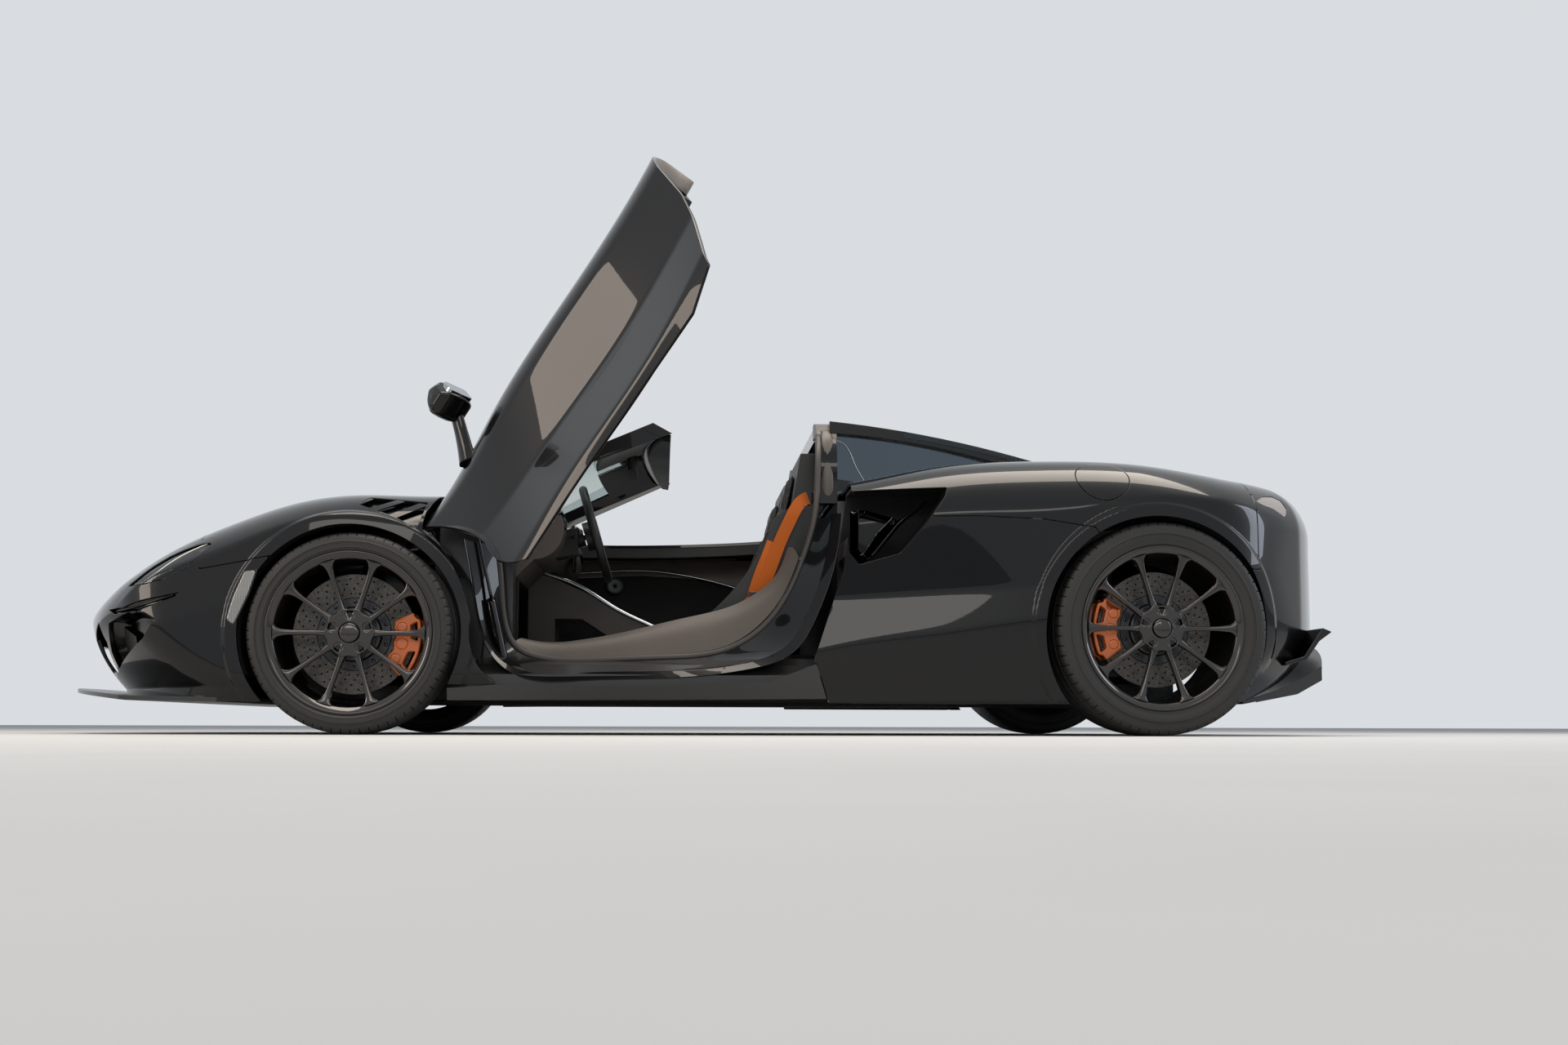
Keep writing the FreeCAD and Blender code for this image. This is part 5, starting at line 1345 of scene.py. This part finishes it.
show("front_mesh", joined(*mesh_back), mesh_plastic(), "chassis", "front_grille")
behind_mesh = from_side(oblong(1760, 150, 2300, 440))
nose_back = cut_panel(behind_mesh, (1.7, -0.01, 0.1), (2.3, 1.0, 0.5), step=2, flange=0)
show("nose_backing", lined(doubled(moved_in(nose_back, 0.075)), 0.002), liner_plastic, "chassis")


# Cabin: leather over foam, with a black lower half and bright trim lines, clipped to the
# tub. The first helper makes a thin skin from rows of points.
def skin(rows, thick=0.004):
    rows = np.array(rows)
    tall, wide = rows.shape[:2]
    faces = [(r * wide + c, r * wide + c + 1, (r + 1) * wide + c + 1, (r + 1) * wide + c)
             for r in range(tall - 1) for c in range(wide - 1)]
    verts, norms, faces = shaded(rows.reshape(-1, 3), faces)
    count = len(verts)
    grid = np.arange(count).reshape(tall, wide)
    rim = list(grid[0]) + list(grid[1:, -1]) + list(grid[-1, -2::-1]) + list(grid[-2:0:-1, 0])
    faces += [tuple(k + count for k in face[::-1]) for face in faces]
    faces += [(int(b), int(a), int(a) + count, int(b) + count) for a, b in zip(rim, rim[1:] + rim[:1])]
    return np.concatenate([verts, verts - norms * thick]), np.concatenate([norms, -norms]), faces


# Rows of points from one line to another, bowed by `lift` millimetres between them.
def ruled(first, second, count, wide, lift=(0, 0, 0)):
    a, b = through(first, count), through(second, count)
    shares = np.linspace(0, 1, wide)
    rows = a[:, None] * (1 - shares)[None, :, None] + b[:, None] * shares[None, :, None]
    return rows + np.sin(shares * math.pi)[None, :, None] * np.array(lift)[None, None, :] / 1000.0


# Box with rounded edges, between two corners in millimetres.
def rounded_block(low, high, edge=4.0):
    low, high = np.array(low, float), np.array(high, float)
    line = rounded_line([(low[0], low[1]), (high[0], low[1]), (high[0], high[1]), (low[0], high[1])],
                        edge * 2, True)
    verts, norms, faces = slab(line, low[2], high[2], edge)
    return verts / 1000.0, norms, faces


# Leather: fine pebble grain about 1.5 mm across, soft sheen.
def leather(name, dark, pale, roughness=0.48):
    made, tree = material(name)
    pebble = texture(tree, "Voronoi", {"feature": "DISTANCE_TO_EDGE"}, Scale=650.0)
    cloud = texture(tree, "Noise", Scale=7.0, Detail=4.0)
    tint = blend(tree, cloud.outputs["Fac"], dark, pale)
    rounded = add(tree, "Bevel", {"samples": 4}, Radius=0.004)
    bump = add(tree, "Bump", Height=pebble.outputs["Distance"], Strength=0.25, Distance=0.0006,
               Normal=rounded.outputs[0])
    rough = add(tree, "MapRange", Value=cloud.outputs["Fac"], _3=roughness - 0.05, _4=roughness + 0.07)
    return finished(made, Base_Color=tint, Roughness=rough.outputs[0], Normal=bump.outputs[0])


# Webbing and suede: a fine weave and a soft edge sheen.
def woven(name, dark, pale, scale=900.0, sheen=0.3):
    made, tree = material(name)
    rib = texture(tree, "Wave", Scale=scale / 6.0, Distortion=0.6)
    cloud = texture(tree, "Noise", Scale=scale, Detail=2.0)
    tint = blend(tree, cloud.outputs["Fac"], dark, pale)
    bump = add(tree, "Bump", Height=rib.outputs["Fac"], Strength=0.25, Distance=0.0006)
    return finished(made, Base_Color=tint, Roughness=0.85, Sheen_Weight=sheen, Normal=bump.outputs[0])


grey_leather = leather("warm_grey_leather", "#4d4743", "#58514c")
black_leather = leather("black_leather", "#121213", "#1a1a1b")
suede = woven("black_suede", "#141415", "#1d1d1f")
carpet = woven("grey_carpet", "#3a3634", "#4b4642", scale=700.0, sheen=0.1)
orange_webbing = woven("orange_webbing", "#b8560f", "#cf6a17", scale=1100.0, sheen=0.1)
seal_rubber = moulded_plastic("grey_seal_rubber", "#3a3735", 0.45)
bright_trim = turned_metal("satin_bright_trim", "#8f9499", "#b3b8bc", 0.22)
painted(grey_leather, "dashboard", "centre_console")
painted(black_leather, "door_trim_left", "door_trim_right", "seat_shells", "steering_wheel")
painted(black_plastic, "steering_column")

# Entry: a padded leather sill inside a rubber seal that runs from the front pillar round to
# the hoop, and a gloss jamb outside it.
SEAL = [(752, 738, 640), (735, 738, 495), (722, 738, 376), (685, 738, 295), (610, 738, 258),
        (455, 738, 247), (201, 738, 258), (-20, 738, 288), (-140, 738, 365), (-218, 738, 469),
        (-278, 736, 609), (-315, 730, 740), (-326, 700, 850), (-334, 655, 985), (-338, 600, 1045)]
INNER_SILL = [(640, 662, 300), (560, 664, 306), (356, 664, 338), (117, 664, 396), (-39, 664, 438),
              (-125, 664, 484), (-190, 662, 545), (-232, 660, 640)]
OUTER_SILL = [(690, 732, 306), (610, 732, 264), (400, 732, 254), (180, 732, 268), (-20, 732, 300),
              (-135, 732, 378), (-212, 730, 480), (-262, 728, 600)]
FLOOR_SILL = [(x, 650, 168) for x in (650, 560, 356, 117, -39, -125, -190, -232)]
JAMB_IN = [(762, 742, 640), (744, 742, 495), (730, 742, 372), (694, 742, 288), (612, 742, 250),
           (455, 742, 240), (201, 742, 251), (-24, 742, 281), (-148, 742, 360), (-226, 742, 466),
           (-287, 740, 607), (-326, 732, 740)]
JAMB_OUT = [(850, 800, 640), (820, 806, 495), (790, 812, 350), (740, 826, 256), (650, 846, 205),
            (455, 850, 199), (201, 849, 205), (-70, 846, 232), (-210, 838, 292), (-290, 828, 420),
            (-340, 822, 570), (-366, 812, 740)]
JAMB_LOW = [(852, 812, 640), (824, 818, 495), (796, 824, 345), (748, 838, 250), (655, 862, 186),
            (455, 865, 176), (201, 864, 184), (-80, 861, 214), (-230, 850, 272), (-318, 842, 410),
            (-372, 838, 570), (-396, 826, 740)]
seal = tube(SEAL, 8.5, 120, flat=1.25)
show("door_seals", paired(seal), seal_rubber, "chassis")
seal_lip = tube([(x + 12, y + 3, z - 11) for x, y, z in SEAL[2:11]], 3.5, 90)
sill = joined(skin(ruled(OUTER_SILL, INNER_SILL, 70, 14, (0, 4, 16))),
              skin(ruled(INNER_SILL, FLOOR_SILL, 70, 6)))
show("sill_pads", paired(sill), grey_leather, "chassis")
jamb = joined(skin(ruled(JAMB_OUT, JAMB_IN, 90, 10, (0, 3, -8))), skin(ruled(JAMB_LOW, JAMB_OUT, 90, 4)))
show("door_jambs", joined(paired(jamb), paired(seal_lip)), paint, "chassis")
rug_edges = [[(x, y, 161.5) for x in (690, 300, -300)] for y in (640, 112)]
rug = skin(ruled(*rug_edges, 30, 20), 0.0008)
show("floor_carpet", paired(rug), carpet, "chassis")

# Gas struts: a gloss black cylinder and rod beside each front pillar, ending in bright ball
# sockets. They have no joint and stay with the tub.
strut_low, strut_high = np.array((711.0, 796, 236)), np.array((818.0, 792, 700))
strut_mid = strut_low + (strut_high - strut_low) * 0.46
cylinder = tube([strut_low, strut_low * 0.5 + strut_mid * 0.5, strut_mid], 12, 12, 24)
rod = tube([strut_mid, strut_mid * 0.5 + strut_high * 0.5, strut_high], 5.5, 12, 20)
ends = joined(tube([strut_low + (0, -14, -6), strut_low + (0, 0, 0), strut_low + (0, 10, 3)], (7, 11, 7),
                   12, 20),
              tube([strut_high + (0, -12, -2), strut_high, strut_high + (0, 10, 2)], (7, 10, 7), 12, 20))
show("gas_struts", paired(joined(cylinder, rod)), gloss_black, "chassis")
show("strut_sockets", paired(ends), bright_steel, "chassis")

# Dashboard: black plastic pieces pressed into the leather - round end vents with five vanes,
# a hood over the dials, the dials' screen and a screen in the middle.
vent_ring = lathe(rounded_line([(0, 22), (6, 24), (10, 31), (6, 36), (0, 37)], 3), 48)
vane = slab(rounded_line([(-22, -1.2), (22, -1.2), (22, 1.2), (-22, 1.2)], 1, True), 0, 5, 0.4)
vanes = [turned_to(moved(vane, (0, k * 8 - 16, 0)), *OUTBOARD) for k in range(5)]
vent = aimed(joined(vent_ring, *vanes), (0.552, 0.545, 0.742), (-0.92, 0.25, 0.3))
show("dash_vents", paired(vent), gloss_black, "chassis")
BINNACLE = [(548, 748), (600, 818), (700, 842), (800, 835)]
hood_rows = []
for share in np.linspace(-1, 1, 25):
    rise = (1 - share ** 2) ** 0.5
    row = [(x, 370 + share * 130, 745 + (z - 745) * (0.25 + 0.75 * rise)) for x, z in BINNACLE]
    hood_rows.append(through(row, 20))
show("dial_hood", skin(hood_rows, 0.006), black_leather, "chassis")
show("dial_screen", rounded_block((560, 300, 740), (572, 440, 806), 3), gloss_black, "chassis")
show("middle_screen", rounded_block((532, -62, 620), (544, 62, 790), 4), gloss_black, "chassis")

# Console: a smooth gloss black top with bright metal strips along both upper edges, clipped
# over the carried-over leather console.
STRIP = [(652, 107, 604), (570, 107, 578), (509, 107, 552), (375, 107, 470), (212, 107, 392),
         (90, 107, 335), (-60, 107, 306)]
strip = tube(STRIP, 5, 70, flat=1.5)
show("console_strips", paired(strip), bright_trim, "chassis")
CONSOLE_TOP = [(648, 604), (570, 582), (509, 556), (375, 475), (212, 398), (90, 341), (-60, 309),
               (-290, 308)]
top_rows = []
for y in np.linspace(100, -100, 17):
    top_rows.append(through([(x, y, z + 7 * (1 - (y / 100) ** 2)) for x, z in CONSOLE_TOP], 60))
show("console_top", skin(top_rows), gloss_black, "chassis")


# Header: a leather trim squares off the windscreen's top edge; two suede visors and the
# inner mirror's plastic housing hang under the glass.
def header_line(back, drop, low, high):
    points = []
    for y in np.linspace(low, high, 9):
        bow = 1 - (y / 560) ** 2
        points.append((235 + 55 * bow + back, y, 1088 + 30 * bow - 0.46 * max(back, 0) - drop))
    return points


def straight_line(x, drop, low, high):
    return [(x, y, z) for _, y, z in header_line(0, drop, low, high)]


header_trim = skin(ruled(straight_line(174, 40, -548, 548), header_line(-38, 36, -548, 548), 60, 6), 0.026)
visor = skin(ruled(header_line(-4, 44, 75, 480), header_line(165, 36, 75, 480), 40, 8, (0, 0, 3)), 0.013)
housing = rounded_block((300, -118, 996), (338, 118, 1060), 14)
stalk = tube([(330, 0, 1030), (352, 0, 1062), (372, 0, 1076)], 11, 16, 12)
show("header_trim", header_trim, black_leather, "chassis")
show("sun_visors", paired(visor), suede, "chassis")
show("inner_mirror", joined(housing, stalk), black_plastic, "chassis")

# Seats: foam pads in black suede and leather, held in a moulded shell by their covers. Each
# pad is blown up as cloth from a slightly smaller form, and its seams are drawn in after.
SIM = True
PAD_ROWS, PAD_WIDE = 44, 40


# The pad's form between its front and back lines, with a dished middle.
def pad_form(front, back, half, dish):
    rows, wide = PAD_ROWS, PAD_WIDE
    front_line, back_line = [through([(x, 0, z) for x, z in line], rows) for line in (front, back)]
    t = np.linspace(0, 1, rows)
    half = np.interp(t, [k[0] for k in half], [k[1] for k in half]) / 1000.0
    s = np.sin(np.linspace(-1, 1, wide) * math.pi / 2)
    full = np.sqrt(np.clip((1 - np.abs(s[None]) ** 7) * (1 - np.abs(2 * t[:, None] - 1) ** 16), 0.0, 1))
    middle = (front_line + back_line) / 2
    slope = np.clip((np.abs(s) - 0.35) / 0.3, 0, 1)
    sunk = dish / 1000.0 * (1 - slope ** 2 * (3 - 2 * slope))
    out = front_line - middle
    size = np.linalg.norm(out, axis=1)[:, None]
    grids = []
    for way, line in ((1, front_line), (-1, back_line)):
        reach = (line - middle)[:, None] * full[..., None]
        if way > 0:
            reach *= (1 - np.minimum(sunk[None], size * 0.9) / size)[..., None]
        spots = middle[:, None] + reach
        spots[..., 1] += half[:, None] * s[None]
        grids.append(spots)
    verts = np.concatenate([grid.reshape(-1, 3) for grid in grids])
    count = rows * wide
    faces = []
    for r in range(rows - 1):
        for c in range(wide - 1):
            k = r * wide + c
            faces.append((k, k + 1, k + wide + 1, k + wide))
            faces.append((count + k, count + k + wide, count + k + wide + 1, count + k + 1))
    ring = [r * wide for r in range(rows)] + [(rows - 1) * wide + c for c in range(1, wide)]
    ring += [r * wide + wide - 1 for r in range(rows - 2, -1, -1)] + [c for c in range(wide - 2, 0, -1)]
    faces += [(a, b, count + b, count + a) for a, b in zip(ring, ring[1:] + ring[:1])]
    return verts, faces


# Blows a form up as cloth, by no more than `cap` metres anywhere.
def blown(verts, faces, cap):
    mesh = bpy.data.meshes.new("pad_form")
    mesh.from_pydata(verts.tolist(), [], faces)
    work = bpy.data.objects.new("pad_form", mesh)
    bpy.context.collection.objects.link(work)
    remesh = work.modifiers.new("remesh", "REMESH")
    remesh.mode = "VOXEL"
    remesh.voxel_size = 0.006 if SIM else 0.009
    work.data = bpy.data.meshes.new_from_object(work.evaluated_get(bpy.context.evaluated_depsgraph_get()))
    work.modifiers.clear()
    rest = np.empty(len(work.data.vertices) * 3)
    work.data.vertices.foreach_get("co", rest)
    rest = rest.reshape(-1, 3)
    done = rest
    if SIM:
        cloth = work.modifiers.new("cloth", "CLOTH")
        cloth.settings.use_pressure = True
        cloth.settings.uniform_pressure_force = 4.0
        cloth.settings.effector_weights.gravity = 0.0
        for frame_number in range(1, 21):
            bpy.context.scene.frame_set(frame_number)
        puffed = work.evaluated_get(bpy.context.evaluated_depsgraph_get()).data
        done = np.empty(rest.size)
        puffed.vertices.foreach_get("co", done)
        move = done.reshape(-1, 3) - rest
        size = np.linalg.norm(move, axis=1)[:, None]
        done = rest + move * np.minimum(1, cap / np.maximum(size, 1e-9))
        bpy.context.scene.frame_set(1)
    polygons = [tuple(polygon.vertices) for polygon in work.data.polygons]
    bpy.data.objects.remove(work)
    return done, polygons


# Seam lines are pressed in along the front: lengthwise beside the middle panel, and across.
def sewn(verts, faces, line, half, front_way):
    verts, norms, faces = shaded(verts, faces)
    path = through([(x, 0, z) for x, z in line], 120)
    away = np.linalg.norm(verts[:, None, ::2] - path[None, :, ::2], axis=2)
    along = np.argmin(away, axis=1) / 119.0
    half = np.interp(along, [k[0] for k in half], [k[1] for k in half]) / 1000.0
    lengthwise = np.abs(np.abs(verts[:, 1]) - half * 0.58)
    press = np.exp(-(lengthwise / 0.005) ** 2)
    middle = np.abs(verts[:, 1]) < half * 0.58
    for level in (0.22, 0.42, 0.62, 0.80):
        press = np.maximum(press, np.exp(-((along - level) * 0.62 / 0.005) ** 2) * middle)
    facing = norms @ np.array(front_way) > 0.2
    verts = verts - norms * (press * facing * 0.006)[:, None]
    return verts, faces, middle & facing


def place_pad(name, verts, faces, in_middle, y):
    mesh = bpy.data.meshes.new(name)
    mesh.from_pydata((verts + (0, y, 0)).tolist(), [], faces)
    mesh.materials.append(black_leather)
    mesh.materials.append(suede)
    for polygon in mesh.polygons:
        polygon.use_smooth = True
        polygon.material_index = int(in_middle[list(polygon.vertices)].all())
    made = bpy.data.objects.new(name, mesh)
    bpy.context.collection.objects.link(made)
    made.modifiers.new("subdivision", "SUBSURF").levels = 1
    made.modifiers["subdivision"].render_levels = 1
    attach(made, "chassis")
    return made


PADS = {
    "seat_cushion": ([(-42, 297), (40, 284), (120, 281), (220, 288), (330, 293)],
                     [(-42, 270), (20, 236), (90, 222), (200, 232), (328, 268)],
                     [(0, 196), (0.5, 200), (1, 188)], 10, (0, 0, 1)),
    "seat_backrest": ([(-52, 344), (-105, 470), (-160, 605), (-208, 745), (-235, 850), (-252, 945)],
                      [(-72, 330), (-132, 470), (-182, 600), (-228, 740), (-254, 850), (-270, 945)],
                      [(0, 178), (0.25, 194), (0.55, 196), (0.68, 170), (0.76, 118), (1, 96)], 8,
                      (1, 0, 0.3)),
}
for label, (front, back, half, dish, way) in PADS.items():
    form, polygons = blown(*pad_form(front, back, half, dish), cap=0.010)
    form, polygons, in_middle = sewn(form, polygons, front, half, way)
    for side, y in (("left", 0.365), ("right", -0.365)):
        pad = place_pad("%s_%s" % (label, side), form, polygons, in_middle, y)
        if pad.name == "seat_cushion_left":
            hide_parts("seat_pads")


# Belts: orange webbing from a reel at the hoop's foot over the shoulder to a black buckle.
def strap(points, width):
    line = through(points, 70)
    run = unit(np.gradient(line, axis=0))
    side = unit(np.cross(run, (0.0, 1.0, 0.0)))
    rows = [line + side * (width / 1000.0 * k) for k in (-0.5, -0.25, 0, 0.25, 0.5)]
    return skin(rows, 0.0014)


SHOULDER_BELT = [(-330, 560, 835), (-300, 585, 826), (-275, 606, 806), (-240, 622, 745), (-205, 624, 668),
                 (-165, 624, 560), (-128, 620, 480)]
belt = joined(strap(SHOULDER_BELT, 44),
              strap([(-180, 602, 690), (-150, 618, 612), (-122, 620, 540), (-104, 618, 480)], 24),
              strap([(-112, 620, 470), (-90, 616, 445), (-62, 606, 425)], 40))
show("seat_belts", paired(belt), orange_webbing, "chassis")
buckle = rounded_block((-140, 612, 462), (-96, 630, 494), 4)
reel = rounded_block((-345, 520, 812), (-318, 596, 850), 5)
show("belt_hardware", paired(joined(buckle, reel)), gloss_black, "chassis")

# Door edges and cards: grey satin plastic closes each door's edge and is screwed on; the card
# inside is leather above a bright strip and suede below it.
DOOR_EDGE = [(890, 664), ("arc", (815, 518), (772, 370)), ("arc", (755, 270), (700, 215)), (227, 208),
             (-120, 226), (-244, 275), (-345, 538), (-380, 845), (-380, 1000), (800, 1000), (835, 790)]


# A piece on each door; the left one is opened with its door.
def on_both(name, shape, finish, *stands_for):
    show(name + "_left", opened(shape), finish, "door_left", *[one + "_left" for one in stands_for])
    show(name + "_right", other_side(shape), finish, "door_right", *[one + "_right" for one in stands_for])


# The edge plastic is grey, drawn paler than its own tone: painted sunlight, since it lies in shade here.
door_grey_painted_sunlit = moulded_plastic("grey_door_edge_plastic_painted_sunlit", "#6b635d", 0.42)
verts, norms, faces = cut_panel(without(door_shape, from_side(DOOR_EDGE, -4)), *door_box, flange=0)
across = np.clip(-door_shape(verts) / 0.042, 0, 1)
band = shaded(verts - norms * (0.010 + 0.036 * across ** 0.8)[:, None], faces)
on_both("door_edge", lined(band, 0.002), door_grey_painted_sunlit)
CARD_TOP = [(640, 690), (552, 694), (291, 708), (94, 688), (-159, 624), (-340, 560), (-372, 990),
            (790, 990), (820, 700)]
card_top = from_side(CARD_TOP)
card = within(from_side(DOOR_EDGE, -14), from_side(oblong(-500, 300, 900, 815)), door_shape)
# The upper card is the grey leather drawn paler: painted sunlight, since the cards lie in shade here.
card_leather_painted_sunlit = leather("grey_leather_painted_sunlit", "#7d756e", "#898078")
CARD_DEPTH = 0.0665
for label, region, finish in (("door_card_upper", within(card, card_top), card_leather_painted_sunlit),
                              ("door_card_lower", without(card, card_top), suede)):
    verts, norms, faces = cut_panel(region, *door_box, step=2, flange=0)
    turned = (verts - norms * CARD_DEPTH, -norms, [face[::-1] for face in faces])
    on_both(label, lined(turned, 0.0015), finish)
CARD_STRIP = [(640, 803, 690), (552, 809, 694), (291, 819, 708), (94, 823, 688), (-159, 827, 624),
              (-300, 833, 572)]
on_both("door_card_strip", tube(CARD_STRIP, 5, 70, 10), bright_trim)
speaker = lathe(rounded_line([(-2, 0.01), (3, 9), (1, 11), (2, 30), (5, 33), (3, 38), (-4, 39)], 2), 48)
on_both("door_speaker", aimed(speaker, (0.405, 0.818, 0.640), (0, -1, 0.08)), hat_steel)
screw = lathe(rounded_line([(2, 0.01), (1.6, 4), (0, 6.5), (-1, 6.5)], 1), 16)
SCREWS = [(-318, 560), (-352, 660), (-366, 770), (-262, 400), (-180, 268), (60, 205), (330, 200),
          (600, 205)]
screws = []
for x, z in SCREWS:
    near_band = np.argmin((band[0][:, 0] - x / 1000) ** 2 + (band[0][:, 2] - z / 1000) ** 2)
    screws.append(aimed(screw, band[0][near_band], band[1][near_band] * 0.999 + (0, 1e-3, 0)))
on_both("door_screws", joined(*screws), bright_steel)

# Door mirrors: a lacquered shell on a broad arm from the door's shoulder, with silvered
# glass in its rear face. They move with the doors.
SHELL = rounded_line([(548, 898), (596, 926), (640, 886), (656, 848), (636, 808), (548, 810)], 15, True, 4)
STATIONS = [(884, 0.02), (884.5, 0.50), (889, 0.68), (901, 0.84), (920, 0.95), (945, 1.0), (972, 0.97),
            (994, 0.86), (1007, 0.66), (1013, 0.40), (1015, 0.02)]
rings = through([(0, y, s * 1000) for y, s in STATIONS], 44)
shell_rings = []
for _, y, s in rings:
    x, z = 598 + (SHELL[:, 0] - 598) * s, 853 + (SHELL[:, 1] - 853) * s
    shell_rings.append(np.stack([x, np.full(len(SHELL), y * 1000), z], 1))
verts = np.concatenate(shell_rings) / 1000.0
size = len(SHELL)
shell = shaded(verts, [(i * size + k, i * size + (k + 1) % size, (i + 1) * size + (k + 1) % size,
                        (i + 1) * size + k)
                       for i in range(len(rings) - 1) for k in range(size)])
arm = tube([(704, 872, 696), (676, 880, 745), (648, 892, 790), (615, 912, 836)], [21, 18, 16, 15], 30, 20,
           1.6)
mirror_glass = slab(rounded_line([(900, 826), (994, 822), (1000, 850), (990, 880), (900, 886)], 9, True),
                    543, 558, 2)
mirror_glass = (mirror_glass[0][:, [2, 0, 1]] / 1000.0, mirror_glass[1][:, [2, 0, 1]], mirror_glass[2])
on_both("mirror_shell", joined(shell, arm), paint, "mirror")
on_both("mirror_glass", mirror_glass, turned_metal("silvered_glass", "#a7abae", "#adb1b4", 0.03))

# Side lamps ahead of the front wheels: a ribbed clear lens in a gloss black surround, which
# is snapped into the bumper and stands 3 mm proud of it.
MARKER = [(1515, 514), (1479, 517), (1500, 444), (1528, 382), (1545, 344), (1565, 363), (1557, 398),
          (1546, 434)]
far_out = from_top(oblong(1300, 700, 1900, 1100))
marker_box = ((1.4, 0.7, 0.25), (1.7, 1.0, 0.6))
lens = moved_in(cut_panel(within(from_side(MARKER, -4), far_out), *marker_box, flange=0.003), -0.005)
rim = moved_in(cut_panel(within(from_side(MARKER), far_out), *marker_box, flange=0.003), -0.003)
clear_lens = ribbed_plastic("ribbed_clear_lens", "#6f706f", "#a2a19d", 0.5)
show("marker_lenses", paired(lens), clear_lens, "chassis")
show("marker_rims", paired(rim), gloss_black, "chassis")

# Wing louvres: lacquered slats over a gloss black recess behind each front wheel, fixed to
# the wing from behind.
SLATS = ([(1122, 718), (1143, 728), (1066, 768), (1040, 762)],
         [(1058, 696), (1081, 706), (994, 757), (963, 752)],
         [(1176, 742), (1186, 748), (1152, 772), (1140, 769)])
recess = moved_in(cut_panel(within(from_side(LOUVRE, 7), wing_shape_whole), *wing_box, flange=0), 0.017)
show("louvre_recesses", paired(recess), gloss_black, "chassis")
slats = []
for outline in SLATS:
    slat = cut_panel(within(from_side(outline), wing_shape_whole), *wing_box, flange=0.007)
    slats.append(moved_in(slat, 0.002))
show("louvre_slats", paired(joined(*slats)), paint, "chassis")

# Side intakes: a lacquered vane and an inner cheek stand in each black mouth and are fixed
# to the rear side's inner edge.
CHEEK = [(-412, 752), (-459, 757), (-554, 722), (-576, 701), (-522, 646), (-474, 573), (-447, 560),
         (-412, 600)]
VANE = [(-668, 776), (-655, 781), (-556, 694), (-470, 580), (-484, 575), (-572, 684)]
inner = from_top(oblong(-900, 700, 0, 1100))
mouth_box = ((-0.9, 0.7, 0.5), (-0.35, 1.0, 0.9))
cheek = moved_in(cut_panel(within(from_side(CHEEK), inner), *mouth_box, flange=0.02), 0.03)
vane = moved_in(cut_panel(within(from_side(VANE), inner), *mouth_box, flange=0.03), 0.012)
show("intake_vanes", paired(joined(cheek, vane)), paint, "chassis")

# Roll hoop trim: padded end caps and soft seals down its sides in one pale trim leather, a
# bright line in front of each rear side and pale blue glazing in the rails.
CAP = [(466, 1050), (466, 1105), (512, 1105), (558, 1089), (598, 1056), (612, 1030), (584, 1022),
       (556, 1050)]
verts, norms, faces = slab(rounded_line(CAP[::-1], 6, True), 334, 406, 4)
verts, norms = [np.stack([-grid[:, 2], grid[:, 0], grid[:, 1]], 1) for grid in (verts / 1000.0, norms)]
cap = (verts, norms, [face[::-1] for face in faces])
hoop_seal = tube([(-368, 586, 1062), (-368, 608, 1036), (-368, 628, 985), (-368, 640, 915),
                  (-369, 640, 850), (-372, 638, 812)],
                 8, 60, flat=2.6)
hoop_leather = leather("pale_grey_trim", "#57524d", "#625d57", 0.4)
show("hoop_trims", paired(joined(cap, hoop_seal)), hoop_leather, "chassis")
line = tube([(-404, 581, 1034), (-428, 581, 1024), (-468, 581, 956), (-506, 581, 888)], 2.2, 40, 8)
show("quarter_lines", paired(line), bright_trim, "chassis")
glazing = skin(ruled([(-640, 602, 1044), (-775, 602, 1022), (-960, 602, 985), (-1120, 602, 946)],
                     [(-640, 602, 1066), (-775, 602, 1040), (-960, 602, 1000), (-1120, 602, 958)], 40, 4),
               0.0012)
show("rail_glazing", paired(glazing), glass("blue_rail_glass", "#7f9db0", "#8fabb9", 0.02), "chassis")

# Tail lamps: a slim pale lens, sunk 2 mm into a lacquered corner piece between the
# clamshell and the rear bumper.
SLIT = [(-1806, 798), (-1849, 821), (-1903, 828), (-1940, 818), (-1953, 787), (-1936, 748), (-1880, 776),
        (-1831, 786)]
far_tail = from_top(oblong(-2100, 562, -1700, 1100))
tail_region = within(from_side(TAIL_LAMP), far_tail)
tail_box = ((-2.05, 0.5, 0.6), (-1.7, 1.0, 0.95))
surround = cut_panel(without(tail_region, from_side(SLIT)), *tail_box, flange=0.01)
show("tail_corners", paired(surround), paint, "chassis", "tail_lamps")
slit = moved_in(cut_panel(within(tail_region, from_side(SLIT, -1.5)), *tail_box, flange=0.008), 0.002)
pale_lens = two_tone("pale_lamp_lens", "Wave", {"settings": {"bands_direction": "Z"}, "Scale": 45.0},
                     "#8d827d",
                     "#b7aba4", Metallic=0.6, Roughness=0.22, Coat_Weight=1.0)
show("tail_lenses", paired(slit), pale_lens, "chassis")

# Rear corners: a gloss black plastic winglet is screwed on below each tail corner.
WINGLET = [(-1923, 254), (-1990, 272), (-2014, 308), (-2058, 372), (-2092, 358), (-2047, 326),
           (-2001, 262), (-1926, 241)]
winglet = slab(rounded_line(WINGLET, 5, True), 640, 800, 2.5)
winglet = (winglet[0][:, [0, 2, 1]] / 1000.0, winglet[1][:, [0, 2, 1]], [face[::-1] for face in winglet[2]])
show("tail_winglets", paired(winglet), gloss_black, "chassis")
